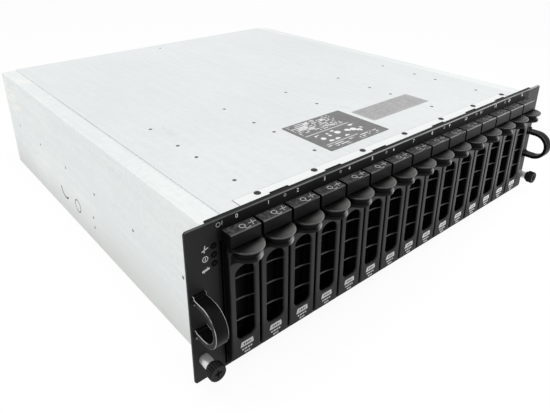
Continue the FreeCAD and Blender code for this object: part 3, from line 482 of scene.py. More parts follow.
def grey_label():
    """Close rows of faint strokes inside a bare border."""
    made, film = label_film("grey_label_film", 154)
    strokes = dashes(made, 3.1, 1.9, 0.66) * field(made, 18, 101, 61, 86)
    return made.colour(made.mix(strokes * 0.6, film, tone(112))).material


def board_green(name):
    """Green mask over raised tracks."""
    made = Finish(name).specular(0.5)
    track = made.rise(made.grain(260.0, 1.0, (1.0, 1.0, 6.0)), 0.48, 0.52)
    fleck = made.grain(800.0)
    made.colour(made.mix(track * 0.5, tone(22, 74, 44), tone(36, 104, 62)))
    made.rough(0.3 + fleck * 0.2)
    return made.relief(track, 0.03, 0.4).material


def dark_lens(name, colour):
    """An unlit lens, nearly black in its depth."""
    made = Finish(name, Coat_Weight=0.04).specular(0.06)
    depth = made.grain(420.0)
    made.colour(made.mix(depth, tone(*colour), tone(5)))
    made.rough(0.16 + depth * 0.12)
    return made.relief(depth, 0.02, 0.2).material


steel = zinc_sheet("zinc_coated_sheet", tone(243, 247, 246), tone(229, 234, 234), low=tone(210, 211, 208))
cover_steel = zinc_sheet("zinc_coated_cover", tone(235, 238, 238), tone(225, 229, 229),
                         strip_to=(COVER_STRIP_HALF, COVER_FOLD))
module_steel = zinc_sheet("zinc_coated_module", tone(214, 217, 220), tone(190, 194, 198), 0.4,
                          grip_from=MODULE_BACK + 0.4)
panel_black = panel_finish()
handle_black = handle_finish()
knob_black = moulded("knob_moulding", 22, 0.5, 70, 0.22)
lever_grey = lever_finish()
tab_grey = tab_finish()
tab_hollow = tab_hollow_finish()
guide_black = moulded("guide_moulding", 28, 0.55, 60)
fan_black = moulded("fan_moulding", 32, 0.42, 70)
latch_grey = moulded("latch_moulding", 96, 0.46, 140)
socket_black = moulded("connector_moulding", 30, 0.5, 58)
switch_black = moulded("switch_moulding", 26, 0.28, 60, 0.5)
carrier_black = carrier_finish()
bright_plate = plated("bright_plated_metal", 236, 0.2, 0.55)
screw_plate = plated("plated_screw_steel", 150, 0.3)
dark_screw = plated("dark_screw_steel", 84, 0.36)
rivet_plate = plated("rivet_steel", 112, 0.4)
white_print = printed("white_print", 246)
label_print = printed("label_print", 216)
grey_print = printed("grey_print", 176)
block_print = printed("block_print", 196, 118)
board_mask = board_green("circuit_board_mask")
lens_dark = dark_lens("status_lens", (9, 11, 10))
lens_green = dark_lens("rear_lamp_lens", (52, 128, 70))
hole_dark = moulded("dark_hole", 10, 0.7, 14, 0.04)
dark_film = dark_label()
grey_film = grey_label()


# Mesh making
FILM_RIM = 0.02
SHARP_ANGLE = math.radians(38.0)
UPRIGHT = Matrix.Rotation(math.pi / 2, 4, "X")


def meshed(name, curve):
    shape = bpy.data.objects.new(name, curve)
    bpy.context.collection.objects.link(shape)
    mesh = bpy.data.meshes.new_from_object(shape.evaluated_get(bpy.context.evaluated_depsgraph_get()))
    bpy.data.objects.remove(shape)
    return mesh


def plate(loops, thick, rim, steps=2):
    """A flat plate with holes and rounded rims, lying in XY with its middle at nought."""
    curve = bpy.data.curves.new("plate", "CURVE")
    curve.dimensions = "2D"
    curve.fill_mode = "BOTH"
    curve.extrude = thick / 2 - rim
    curve.bevel_depth = rim
    curve.bevel_resolution = steps
    curve.offset = -rim
    for loop in loops:
        spline = curve.splines.new("POLY")
        spline.points.add(len(loop) - 1)
        for point, (across, up) in zip(spline.points, loop):
            point.co = (across, up, 0, 1)
        spline.use_cyclic_u = True
    return meshed("plate", curve)


def thin(loops, thick=0.1):
    """A flat mark, such as print or a line of shadow."""
    return plate(loops, thick, FILM_RIM, 0)


def loft(rings, second_from=None):
    """A closed skin over rings of as many points each, with the next finish from a given ring on."""
    skin = bmesh.new()
    rows = [[skin.verts.new(point) for point in ring] for ring in rings]
    for level, (near, far) in enumerate(zip(rows, rows[1:])):
        for index in range(len(near)):
            after = (index + 1) % len(near)
            face = skin.faces.new((near[index], near[after], far[after], far[index]))
            face.material_index = int(second_from is not None and level >= second_from)
    skin.faces.new(rows[0][::-1])
    last = skin.faces.new(rows[-1])
    last.material_index = int(second_from is not None)
    bmesh.ops.recalc_face_normals(skin, faces=skin.faces)
    mesh = bpy.data.meshes.new("loft")
    skin.to_mesh(mesh)
    skin.free()
    return mesh


def turned(profile, sides=32, flute=0.0, flutes=0):
    """A turned form about Z from radii and heights, its side fluted where a third figure says how much."""
    rings = []
    for radius, height, *share in profile:
        dip = flute * (share[0] if share else 0.0)
        ring = []
        for index in range(sides):
            angle = 2 * math.pi * index / sides
            reach = radius - dip * (0.5 - 0.5 * math.cos(flutes * angle))
            ring.append((reach * math.cos(angle), reach * math.sin(angle), height))
        rings.append(ring)
    return loft(rings)


def on_circle(centre, radius, angle):
    return centre[0] + radius * math.cos(angle), centre[1] + radius * math.sin(angle)


def circle(radius, centre=(0.0, 0.0), sides=28):
    return [on_circle(centre, radius, 2 * math.pi * index / sides) for index in range(sides)]


def rounded_box(width, height, corner, steps=5):
    """The outline of a rectangle with round corners."""
    points = []
    for quarter, (side, up) in enumerate(((1, 1), (-1, 1), (-1, -1), (1, -1))):
        middle = (side * (width / 2 - corner), up * (height / 2 - corner))
        for step in range(steps + 1):
            points.append(on_circle(middle, corner, math.pi / 2 * (quarter + step / steps)))
    return points


def arc_band(radius, width, start, end, steps=16):
    """The outline of a curved stroke about nought, between two angles in degrees."""
    sweep = [math.radians(start + (end - start) * step / steps) for step in range(steps + 1)]
    outer = [on_circle((0.0, 0.0), radius, angle) for angle in sweep]
    return outer + [on_circle((0.0, 0.0), radius - width, angle) for angle in sweep[::-1]]


def strip(start, end, width):
    """The outline of a straight stroke."""
    along = Vector(end) - Vector(start)
    side = Vector((-along.y, along.x)).normalized() * width / 2
    return [tuple(Vector(start) + side), tuple(Vector(start) - side), tuple(Vector(end) - side),
            tuple(Vector(end) + side)]


def crossed(reach, width):
    """The outlines of two strokes over each other."""
    return strip((-reach, 0), (reach, 0), width), strip((0, -reach), (0, reach), width)


def facing_up(x, y, z, turn=Matrix.Identity(4)):
    """Puts a form drawn in XY in place, in millimetres, if wanted with a turn first."""
    return Matrix.Translation(spot(x, y, z)) @ turn @ Matrix.Scale(MM, 4)


def facing_front(x, y, z):
    return facing_up(x, y, z, UPRIGHT)


def facing_back(x, y, z):
    return facing_up(x, y, z, UPRIGHT.inverted())


def side_turn(side):
    """Turns a form drawn in XY to the left for a side of -1 and to the right for 1; its X runs along Y."""
    return Matrix(((0, 0, side, 0), (1, 0, 0, 0), (0, 1, 0, 0), (0, 0, 0, 1)))


def on_side_wall(side, y, z):
    return facing_up(side * SIDE_WALL, y, z, side_turn(side))


def lifted(place, height):
    return place @ Matrix.Translation((0, 0, height))


def joined(name, parts):
    """One mesh from several, each with its place and the number of its finish."""
    whole = bmesh.new()
    for mesh, place, number in parts:
        copy = mesh.copy()
        copy.transform(place)
        numbers = [number + face.material_index for face in copy.polygons]
        copy.polygons.foreach_set("material_index", numbers)
        whole.from_mesh(copy)
        bpy.data.meshes.remove(copy)
    mesh = bpy.data.meshes.new(name)
    whole.to_mesh(mesh)
    whole.free()
    return mesh


def piece(name, mesh, finishes, body, stands_for=()):
    made = bpy.data.objects.new(name, mesh)
    mesh.name = name
    bpy.context.collection.objects.link(made)
    for finish in finishes:
        mesh.materials.append(finish)
    mesh.shade_smooth()
    mesh.set_sharp_from_angle(angle=SHARP_ANGLE)
    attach(made, body)
    if stands_for:
        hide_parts(*stands_for)


# Carrier levers: a slotted plate with bowed vent bars, side flanges, a pivot pin and a spool shaped tab
LEVER_WIDTH, LEVER_LOW, LEVER_TOP, LEVER_CORNER = 26.4, 10.2, 112.8, 0.5
LEVER_FACE, LEVER_SHEET, LEVER_RIM = -8.0, 2.4, 1.1
PLATE_TOP = LEVER_TOP - 5
FLANGE_SHEET, FLANGE_RIM, FLANGE_BEND, FLANGE_TOP = 1.6, 0.3, 100.0, 105.0
PIVOT_BACK, PIVOT_HEIGHT = -2.6, 8.2
PIN_PROFILE = ((0.5, -11.8), (1.0, -11.6), (1.1, -11.4), (1.1, 11.4), (1.0, 11.6), (0.5, 11.8))
SLOT_LOW, SLOT_SHOULDER, SLOT_TOP, SLOT_HALF, SLOT_CORNER = 27.0, 87.0, 93.0, 8.4, 3.4
BAR_RISE, BAR_HEIGHT, BAR_DEPTH, BAR_BOW = 19.22, 1.2, 1.2, 0.8
BAR_BACK, BAR_FORWARD, BAR_DROP, BAR_LEAN = 2.1, 1.2, 1.2, 1.5
BAR_HALF = SLOT_HALF * 1.04
ARCH_STEPS, BAR_STEPS, BAR_SIDES, TAB_STEPS = 16, 12, 10, 28
TAB_ROOT, TAB_BACK = -10.8, -6.0
# Levels of the tab from its dished top down: reach and drop, then half width, root, depth and drop.
# Its hollow, from one of those levels on, has the finish after the tab's.
TAB_LIP = ((6.0, -1.45), (9.0, -1.2), (11.0, -0.5), (12.0, -0.05), (12.5, 0.0), (12.85, -0.12),
           (13.0, -0.45), (12.95, -1.0), (12.5, -1.7), (11.6, -2.2), (10.4, -2.6), (9.6, -3.0),
           (9.25, -3.7), (9.2, -5.2), (9.4, -6.0), (10.0, -6.5), (10.9, -6.75), (11.35, -7.0),
           (11.6, -7.4), (11.6, -8.5), (11.4, -9.2))
TAB_FOOT = ((11.5, -10.2, 9.0, -9.9), (11.6, -9.6, 6.6, -10.8), (11.8, -9.0, 4.0, -12.0),
            (12.3, -8.5, 1.9, -13.4), (12.8, -8.1, 0.5, -15.0))
HOLLOW_FROM = 7
LEVER_FINISHES = (lever_grey, tab_grey, tab_hollow, label_print, hole_dark)
GREY, TAB, PALE, DARK = 0, 1, 3, 4
LEVER_PATCH = ((-5.9, 18.9), (6.4, 18.9), (5.9, 23.5), (5.4, 23.8), (-4.4, 23.8), (-5.1, 23.4),
               (-6.1, 19.5))
# Rows of short strokes on the lever's foot: height, finish and the ends of each stroke
LEVER_ROWS = ((16.4, PALE, ((-4.6, -2.9), (-2.3, 0.2), (0.8, 2.6), (3.2, 4.9))),
              (13.2, PALE, ((-2.4, -0.5), (0.0, 1.2), (1.7, 2.9))),
              (21.3, DARK, ((-3.0, -1.9), (-1.1, 0.4), (1.2, 2.5), (3.2, 3.9))))
ROW_WIDTH = 1.5
MARK_OUT = {PALE: 0.03, DARK: 0.06}


def slot_outline():
    """An arch over a foot with two rounded corners."""
    inner = SLOT_HALF - SLOT_CORNER * 1.15
    cut, low = SLOT_HALF - SLOT_CORNER * 0.45, SLOT_LOW + SLOT_CORNER * 0.35
    side = SLOT_LOW + SLOT_CORNER * 1.2
    points = [(-inner, SLOT_LOW), (inner, SLOT_LOW), (cut, low), (SLOT_HALF, side)]
    for step in range(ARCH_STEPS + 1):
        angle = math.pi * step / ARCH_STEPS
        height = SLOT_SHOULDER + (SLOT_TOP - SLOT_SHOULDER) * math.sin(angle)
        points.append((SLOT_HALF * math.cos(angle), height))
    return points + [(-SLOT_HALF, side), (-cut, low)]


def lever_outline():
    """The plate, with two rounded feet and its top hidden in the tab."""
    half = LEVER_WIDTH / 2
    inner, height = half - LEVER_CORNER, LEVER_LOW + LEVER_CORNER
    right = [on_circle((inner, height), LEVER_CORNER, math.radians(turn)) for turn in range(-90, 1, 18)]
    left = [on_circle((-inner, height), LEVER_CORNER, math.radians(turn)) for turn in range(180, 271, 18)]
    return right + [(half, PLATE_TOP), (-half, PLATE_TOP)] + left


def vent_bar(level):
    """A bar across the slot, bowed upward, and leaning down and forward to its right."""
    rings = []
    for step in range(BAR_STEPS + 1):
        share = step / BAR_STEPS
        lift = BAR_BOW * (1 - (2 * share - 1) ** 2) - BAR_LEAN * share
        depth = LEVER_FACE + BAR_BACK - BAR_FORWARD * share
        ring = []
        for corner in range(BAR_SIDES):
            angle = 2 * math.pi * corner / BAR_SIDES
            ring.append((BAR_HALF * (2 * share - 1), depth + BAR_DEPTH / 2 * math.cos(angle),
                         level + lift + BAR_HEIGHT / 2 * math.sin(angle)))
        rings.append(ring)
    return loft(rings)


def tab_ring(half, root, depth, drop):
    """One level of the tab: straight sides from the plate and a round front."""
    height = LEVER_TOP + drop
    ring = [(half, TAB_BACK, height)]
    for step in range(TAB_STEPS + 1):
        angle = math.pi * step / TAB_STEPS
        ring.append((half * math.cos(angle), root - depth * math.sin(angle), height))
    return ring + [(-half, TAB_BACK, height)]


def lever_tab():
    rings = [tab_ring(reach, TAB_ROOT, reach, drop) for reach, drop in TAB_LIP]
    rings += [tab_ring(*level) for level in TAB_FOOT]
    return loft(rings, HOLLOW_FROM)


def lever_flange():
    root = LEVER_FACE + LEVER_SHEET / 2
    foot = PIVOT_HEIGHT - 2.0
    outline = [(root, LEVER_LOW + 0.6), (-4.4, foot), (-2.6, foot), (-1.2, PIVOT_HEIGHT - 1.4),
               (-0.6, PIVOT_HEIGHT), (-0.6, FLANGE_BEND), (-1.8, FLANGE_TOP), (root, FLANGE_TOP)]
    return plate([outline], FLANGE_SHEET, FLANGE_RIM)


def lever_parts():
    still = Matrix.Identity(4)
    face = Matrix.Translation((0, LEVER_FACE + LEVER_SHEET / 2, 0)) @ UPRIGHT
    parts = [(plate([lever_outline(), slot_outline()], LEVER_SHEET, LEVER_RIM, 4), face, GREY)]
    for index in (1, 2, 3):
        parts.append((vent_bar(SLOT_LOW + index * BAR_RISE - BAR_DROP), still, GREY))
    for side in (-1, 1):
        beside = Matrix.Translation((side * (LEVER_WIDTH - FLANGE_SHEET) / 2, 0, 0))
        parts.append((lever_flange(), beside @ side_turn(1), GREY))
    pivot = Matrix.Translation((0, PIVOT_BACK, PIVOT_HEIGHT)) @ Matrix.Rotation(math.pi / 2, 4, "Y")
    parts.append((turned(PIN_PROFILE, 16), pivot, GREY))
    parts.append((lever_tab(), still, TAB))
    marks = [(LEVER_PATCH, PALE)]
    for level, finish, ends in LEVER_ROWS:
        marks += [(strip((start, level), (end, level), ROW_WIDTH), finish) for start, end in ends]
    for mark, finish in marks:
        out = Matrix.Translation((0, LEVER_FACE - MARK_OUT[finish], 0)) @ UPRIGHT
        parts.append((plate([mark], 0.12, 0.03, 0), out, finish))
    return parts


def make_levers():
    pattern = joined("lever_pattern", lever_parts())
    for bay in range(BAYS):
        mesh = pattern.copy()
        mesh.transform(facing_up(bay_middle(bay), 0, 0))
        node = f"carrier_lever_{bay:02d}"
        piece(f"slotted_lever_{bay:02d}", mesh, LEVER_FINISHES, node, (node,))


# Marks on the blocks: a ring with a tail and a cross, as thin print that rides with each carrier
BLOCK_MARK_AT, BLOCK_TOP = -6.2, 123.73
BLOCK_RING_AT = (0.4, 0.6)
BLOCK_STROKES = (((0.9, -1.6), (1.7, -3.9)), ((1.7, -3.9), (5.2, -3.0)), ((5.7, 0.6), (12.2, 0.5)),
                 ((9.8, 3.6), (8.0, -2.4)))


def make_block_marks():
    marks = [thin([circle(2.4, BLOCK_RING_AT), circle(1.85, BLOCK_RING_AT)])]
    marks += [thin([strip(start, end, 0.55)]) for start, end in BLOCK_STROKES]
    for bay in range(BAYS):
        place = facing_up(bay_middle(bay), BLOCK_MARK_AT, BLOCK_TOP)
        mesh = joined("block_mark", [(mark, place, 0) for mark in marks])
        piece(f"block_mark_{bay:02d}", mesh, (block_print,), f"carrier_{bay:02d}")


# Print on the panel: bay numbers, small rings along the rail, and three plain marks beside the lights
PRINT_OUT, PRINT_THICK = -0.02, 0.08
NUMERAL_SIZE, NUMERAL_THICK, NUMERAL_AT = 4.6, 0.04, 129.3
RAIL_RINGS, RAIL_RINGS_AT = (-154.8, -95.7, -38.4, 48.0, 104.9, 162.0), 129.6
RAIL_END = (-214.6, PRINT_OUT, 128.4)
EAR_MARKS = -226.2


def numeral(text):
    curve = bpy.data.curves.new("numeral", "FONT")
    curve.body = text
    curve.size = NUMERAL_SIZE
    curve.align_x = "CENTER"
    curve.align_y = "CENTER"
    curve.extrude = NUMERAL_THICK
    return meshed("numeral", curve)


def make_panel_print():
    parts = []
    for bay in range(BAYS):
        parts.append((numeral(str(bay)), facing_front(bay_middle(bay), PRINT_OUT, NUMERAL_AT), 0))
    ring = thin([circle(1.25), circle(0.75)], PRINT_THICK)
    for across in RAIL_RINGS:
        parts.append((ring, facing_front(across, PRINT_OUT, RAIL_RINGS_AT), 1))
    for loops in ([circle(1.9), circle(1.35)], [strip((3.0, -1.0), (3.4, 1.9), 0.6)]):
        parts.append((thin(loops, PRINT_THICK), facing_front(*RAIL_END), 1))
    for loops, height in (
        ([strip((-0.6, -2.6), (0.2, 2.9), 0.8)], 113.6), ([strip((-2.6, -1.2), (2.8, 0.5), 0.8)], 113.6),
        ([circle(2.4), circle(1.8)], 105.7), ([strip((-0.2, -1.2), (0.3, 1.2), 0.7)], 105.7),
        ([strip((-3.0, -0.7), (3.0, 0.5), 1.7)], 96.8), ([strip((-1.2, -2.1), (-0.9, -0.4), 0.5)], 96.8),
        ([strip((0.9, 0.4), (1.2, 2.0), 0.5)], 96.8),
    ):
        parts.append((thin(loops, PRINT_THICK), facing_front(EAR_MARKS, PRINT_OUT, height), 0))
    piece("panel_print", joined("panel_print", parts), (white_print, grey_print), "chassis")


# Ear fittings: round lenses over the light pipes, and fluted captive knobs
LENS_AT, LENS_HEIGHTS = -219.0, (113.7, 106.5, 99.3)
LENS_OUT, PIT_SHADE_OUT = -0.2, -0.02
LENS_PROFILE = ((0.3, -0.05), (0.8, 0.06), (1.05, 0.0), (1.1, -0.2), (1.1, -7.5))
KNOB_AT, KNOB_OUT, KNOB_HEIGHT = 232.55, -9.8, 20.7
KNOB_PROFILE = ((0.6, 8.5), (2.0, 8.55), (4.0, 8.8), (5.6, 9.1), (6.3, 9.05), (6.8, 8.6, 1), (7.0, 7.9, 1),
                (7.0, 2.9, 1), (6.75, 2.2, 1), (5.8, 1.8), (5.4, 1.4), (5.4, 0.5), (4.9, 0.0), (2.4, 0.0),
                (2.4, -12.2), (2.9, -12.5), (2.9, -19.3), (2.4, -19.7))
KNOB_SIDES, FLUTE_DEPTH, FLUTES = 120, 0.8, 20
KNOB_CROSS = 8.6


def make_lenses():
    lens = turned(LENS_PROFILE, 24)
    # a near-black ring round each lens: painted shade of the pit it sits in
    seat = plate([circle(2.6), circle(1.0)], 0.1, 0.03, 1)
    parts = []
    for height in LENS_HEIGHTS:
        parts.append((lens, facing_front(LENS_AT, LENS_OUT, height), 0))
        parts.append((seat, facing_front(LENS_AT, PIT_SHADE_OUT, height), 1))
    piece("status_lenses", joined("status_lenses", parts), (lens_dark, hole_dark), "chassis",
          ("status_lights",))


def make_knobs():
    head = turned(KNOB_PROFILE, KNOB_SIDES, FLUTE_DEPTH, FLUTES)
    # the dark cross on each knob's top stands for its cross recess: painted shade
    blades = [plate([blade], 0.5, 0.1, 1) for blade in crossed(3.1, 1.2)]
    for side, label in ((-1, "left"), (1, "right")):
        place = facing_front(side * KNOB_AT, KNOB_OUT, KNOB_HEIGHT)
        parts = [(head, place, 0)]
        parts += [(blade, lifted(place, KNOB_CROSS), 1) for blade in blades]
        body = f"thumbscrew_{label}"
        piece(f"fluted_knob_{label}", joined("knob", parts), (knob_black, hole_dark), body,
              (body,))


# Screws: oval cross heads on the cover and hexagon heads behind the ears
COVER_SCREWS, COVER_SCREWS_AT = (-167.0, -108.0, -49.0, 10.0, 69.0, 128.0, 187.0), 17.5
DOME_PROFILE = ((0.4, 0.78), (1.4, 0.74), (2.3, 0.52), (2.75, 0.2), (2.9, 0.0), (2.8, -0.1))
DOME_TURN, DOME_CROSS = 0.7, 0.72
HANDLE_SCREWS, HANDLE_SCREWS_AT, HEXAGON_AT = (48.0, 77.0), 233.5, 3.1


def make_screws():
    parts = []
    dome = turned(DOME_PROFILE, 28)
    # dark crosses on the heads stand for their cross recesses: painted shade
    strokes = [thin([outline]) for outline in crossed(1.5, 0.5)]
    for index, across in enumerate(COVER_SCREWS):
        seat = facing_up(across, COVER_SCREWS_AT, COVER_TOP)
        place = seat @ Matrix.Rotation(DOME_TURN * index, 4, "Z")
        parts.append((dome, place, 0))
        parts += [(stroke, lifted(place, DOME_CROSS), 1) for stroke in strokes]
    hexagon = plate([circle(3.4, sides=6)], 2.2, 0.3)
    for side in (-1, 1):
        for height in HANDLE_SCREWS:
            parts.append((hexagon, facing_back(side * HANDLE_SCREWS_AT, HEXAGON_AT, height), 2))
    piece("machine_screw_heads", joined("screws", parts), (dark_screw, hole_dark, screw_plate), "chassis",
          ("machine_screws",))


# Dimples in the cover, and rimmed holes and pressed marks in the sides, at depths and heights
DIMPLE_COLUMNS, DIMPLE_ROWS = (-168, -81, 6, 93, 180), (182, 131, 100, 45)
STICKER_COLUMN, STICKER_BACK = 6, 100
LONE_DIMPLE = (0.5, 467)
SIDE_HOLES = ((446, 65.5), (366, 65.5), (284, 65.5), (207, 65.5), (123, 65.5), (39, 65.5), (220, 32.5),
              (220, 20.5))
SIDE_ARC_AT, SIDE_RING_AT = (301, 32.5), (264, 26.5)


def make_sheet_marks():
    dimple = turned(((0.4, 0.1), (1.2, 0.09), (1.5, 0.06), (1.75, 0.0), (1.75, -0.1)), 24)
    rim = turned(((1.5, 0.02), (1.6, 0.16), (2.1, 0.16), (2.3, 0.0), (2.3, -0.1)), 24)
    # dark films for the holes and the pressed arc and ring: painted shade of their depth
    hole = thin([circle(1.5)])
    arc = plate([arc_band(12.5, 2.1, 226, 358)], 0.1, 0.03, 1)
    ring = plate([circle(8.0), circle(6.8)], 0.12, 0.03, 1)
    parts = []
    for across in DIMPLE_COLUMNS:
        for back in DIMPLE_ROWS:
            if across != STICKER_COLUMN or back > STICKER_BACK:
                parts.append((dimple, facing_up(across, back, COVER_TOP), 2))
    parts.append((dimple, facing_up(*LONE_DIMPLE, COVER_TOP), 2))
    for side in (-1, 1):
        for back, height in SIDE_HOLES:
            place = on_side_wall(side, back, height)
            parts.append((rim, place, 0))
            parts.append((hole, lifted(place, 0.04), 1))
        parts.append((arc, on_side_wall(side, *SIDE_ARC_AT), 1))
        parts.append((ring, on_side_wall(side, *SIDE_RING_AT), 1))
    finishes = (steel, dark_screw, rivet_plate)
    piece("sheet_rivets", joined("rivets", parts), finishes, "chassis")


# Shadow in the hook slots of the cover, and the fold line and two seams round the strip that holds them
HOOK_SLOTS, HOOK_SLOTS_AT = (-150.8, -92.4, -34.0, 54.5, 112.9, 171.3), 10.7
SEAM_FRONT, SEAM_BACK = (188.2, 8.0), (188.0, 20.9)
LINE_THICK = 0.06


def make_cover_marks():
    dark = thin([rounded_box(18.8, 3.6, 0.5)])
    parts = [(dark, facing_up(across, HOOK_SLOTS_AT, COVER_TOP - 0.03), 0) for across in HOOK_SLOTS]
    on_cover = facing_up(0, 0, COVER_TOP + 0.01)
    fold = strip((-COVER_STRIP_HALF, COVER_FOLD), (COVER_STRIP_HALF, COVER_FOLD), 0.4)
    parts.append((thin([fold], LINE_THICK), on_cover, 1))
    for side in (-1, 1):
        seam = strip((side * SEAM_FRONT[0], SEAM_FRONT[1]), (side * SEAM_BACK[0], SEAM_BACK[1]), 0.5)
        parts.append((thin([seam], LINE_THICK), on_cover, 0))
    piece("cover_marks", joined("cover_marks", parts), (hole_dark, module_steel), "chassis")


def make_stickers():
    for name, middle, half, finish in (("dark_sticker", (-31.7, 67.5), (39.5, 34.0), dark_film),
                                       ("grey_sticker", (60.0, 73.2), (45.6, 15.7), grey_film)):
        film = plate([rounded_box(2 * half[0], 2 * half[1], 1.5)], 0.12, 0.03, 1)
        film.transform(facing_up(*middle, COVER_TOP + 0.04))
        piece(name, film, (finish,), "chassis")


# Fittings on the backs of the modules: fan rings and shroud, inlet and port shells, lamps and corner screws
FAN_AT, FAN_HEIGHT, FAN_RADIUS = 52.0, 42.8, 34.0
FAN_SIDES, HUB_SIDES, HUB_RADIUS = 64, 32, 13.5
SHROUD_IN, WELL_IN, WIRES_IN = -9.8, -23.6, -0.6
WIRE_RADII, WIRE_WIDTH = (12.4, 22.8), 1.3
INLET_AT, INLET_HEIGHT = 190.2, 27.5
POWER_LAMPS, POWER_LAMPS_HEIGHT = (-6, 0, 6), 75.5
PORT_HEIGHT = 105.8
PORTS, SMALL_PORT = (30.0, 64.0), 98.0
CONTROL_LAMPS_AT, CONTROL_LAMPS = 113.0, (-3, 3)
CORNERS = (5.5, MODULE_WIDTH - 5.5)
POWER_SCREWS, CONTROL_SCREWS = (7.0, 78.0), (119.5,)
REAR_FINISHES = (socket_black, bright_plate, lens_green, screw_plate)
BLACK, BRIGHT, LAMP, SCREW = 0, 1, 2, 3


def frame_plate(outer, inner, thick, rim=0.2):
    return plate([rounded_box(*outer), rounded_box(*inner)], thick, rim, 1)


def fan_ring(outer, inner, thick, rim, steps=2, inner_sides=FAN_SIDES):
    return plate([circle(outer, sides=FAN_SIDES), circle(inner, sides=inner_sides)], thick, rim, steps)


def fan_parts():
    """The shroud, the floor of the well and the two guard rings, with depths and finishes."""
    parts = [(fan_ring(FAN_RADIUS - 0.1, FAN_RADIUS - 0.8, 19.0, 0.2, 1), SHROUD_IN, BLACK),
             (fan_ring(FAN_RADIUS - 0.5, HUB_RADIUS, 0.4, 0.1, 1, HUB_SIDES), WELL_IN, BLACK)]
    for radius in WIRE_RADII:
        parts.append((fan_ring(radius, radius - WIRE_WIDTH, 1.0, 0.35), WIRES_IN, BRIGHT))
    return parts


def inlet_parts():
    """The flange of the inlet, its shell and its floor."""
    return [(frame_plate((31.0, 23.4, 3.0), (26.0, 18.4, 2.0), 1.4, 0.4), 0.4, BLACK),
            (frame_plate((27.3, 19.8, 1.0), (25.6, 18.0, 1.6), 17.0), -8.7, BLACK),
            (plate([rounded_box(26.4, 18.8, 1.0)], 0.4, 0.1, 1), -17.7, BLACK)]


def make_rear_fittings():
    fan, inlet = fan_parts(), inlet_parts()
    port = [(frame_plate((24.6, 11.6, 1.2), (21.2, 8.2, 0.6), 0.8), 0.2, BRIGHT),
            (frame_plate((21.8, 8.8, 0.5), (21.0, 8.0, 0.4), 10.4), -5.4, BLACK)]
    small_port = [(frame_plate((15.4, 13.4, 1.0), (12.2, 10.2, 0.5), 0.8), 0.2, BRIGHT),
                  (frame_plate((12.8, 10.8, 0.5), (12.0, 10.0, 0.4), 10.4), -5.4, BLACK)]
    lamp_dome = [(turned(((0.3, 0.5), (0.9, 0.35), (1.25, 0.0), (1.3, -0.3)), 20), 0, LAMP)]
    # the black strip across each screw head stands for its slot: painted shade
    screw = [(turned(((0.4, 1.0), (1.6, 0.92), (2.5, 0.55), (2.9, 0.0), (2.9, -0.2)), 24), 0, SCREW),
             (thin([strip((-1.5, 0), (1.5, 0), 0.5)], 0.12), 0.95, BLACK)]
    power = [(fan, FAN_AT, FAN_HEIGHT), (inlet, INLET_AT, INLET_HEIGHT)]
    power += [(lamp_dome, INLET_AT + step, POWER_LAMPS_HEIGHT) for step in POWER_LAMPS]
    power += [(screw, across, height) for across in CORNERS for height in POWER_SCREWS]
    control = [(port, across, PORT_HEIGHT) for across in PORTS] + [(small_port, SMALL_PORT, PORT_HEIGHT)]
    control += [(lamp_dome, CONTROL_LAMPS_AT, PORT_HEIGHT + step) for step in CONTROL_LAMPS]
    control += [(screw, across, height) for across in CORNERS for height in CONTROL_SCREWS]
    for label, start in (("left", -MODULE_GAP - MODULE_WIDTH), ("right", MODULE_GAP)):
        for kind, fittings in (("power", power), ("control", control)):
            parts = [(mesh, facing_back(start + across, MODULE_BACK + depth, height), finish)
                     for shells, across, height in fittings for mesh, depth, finish in shells]
            piece(f"{kind}_fittings_{label}", joined(f"{kind}_fittings", parts), REAR_FINISHES,
                  f"{kind}_module_{label}")


# The CAD nodes that stay in view: their own finish, with rims rounded by modifiers
NODE_FINISH = {
    "chassis_shell": (steel, 0.4),
    "top_cover": (cover_steel, 0.35),
    "front_panel": (panel_black, 0.4),
    "lower_guide_tray": (guide_black, 0.2),
    "upper_guide_tray": (guide_black, 0.2),
    "backplane": (board_mask, 0.1),
    "backplane_connectors": (socket_black, 0.2),
    "rear_cage": (steel, 0.2),
    "thumbscrew_collars": (bright_plate, 0.4),
    "status_board": (board_mask, 0.1),
}
for bay in range(BAYS):
    NODE_FINISH[f"carrier_{bay:02d}"] = (carrier_black, 0.45)
for label in ("left", "right"):
    NODE_FINISH[f"pull_handle_{label}"] = (handle_black, 1.1)
    NODE_FINISH[f"power_module_{label}"] = (module_steel, 0.3)
    NODE_FINISH[f"control_module_{label}"] = (module_steel, 0.3)
    NODE_FINISH[f"fan_rotor_{label}"] = (fan_black, 0.3)
    NODE_FINISH[f"power_switch_{label}"] = (switch_black, 0.5)
    NODE_FINISH[f"power_latch_{label}"] = (latch_grey, 0.5)
    NODE_FINISH[f"control_latch_{label}"] = (latch_grey, 0.5)
WELD_GAP = 0.01
FLAT_ANGLE, RIM_ANGLE = math.radians(1.0), math.radians(40)


def dress_nodes():
    for name, (finish, rim) in NODE_FINISH.items():
        node = nodes[name]
        node.data.materials.clear()
        node.data.materials.append(finish)
        weld = node.modifiers.new("weld", "WELD")
        weld.merge_threshold = WELD_GAP * MM
        flats = node.modifiers.new("flats", "DECIMATE")
        flats.decimate_type = "DISSOLVE"
        flats.angle_limit = FLAT_ANGLE
        bevel = node.modifiers.new("rims", "BEVEL")
        bevel.width = rim * MM
        bevel.segments = 4 if rim > 1 else 2
        bevel.limit_method = "ANGLE"
        bevel.angle_limit = RIM_ANGLE
        bevel.use_clamp_overlap = True
        bevel.harden_normals = True


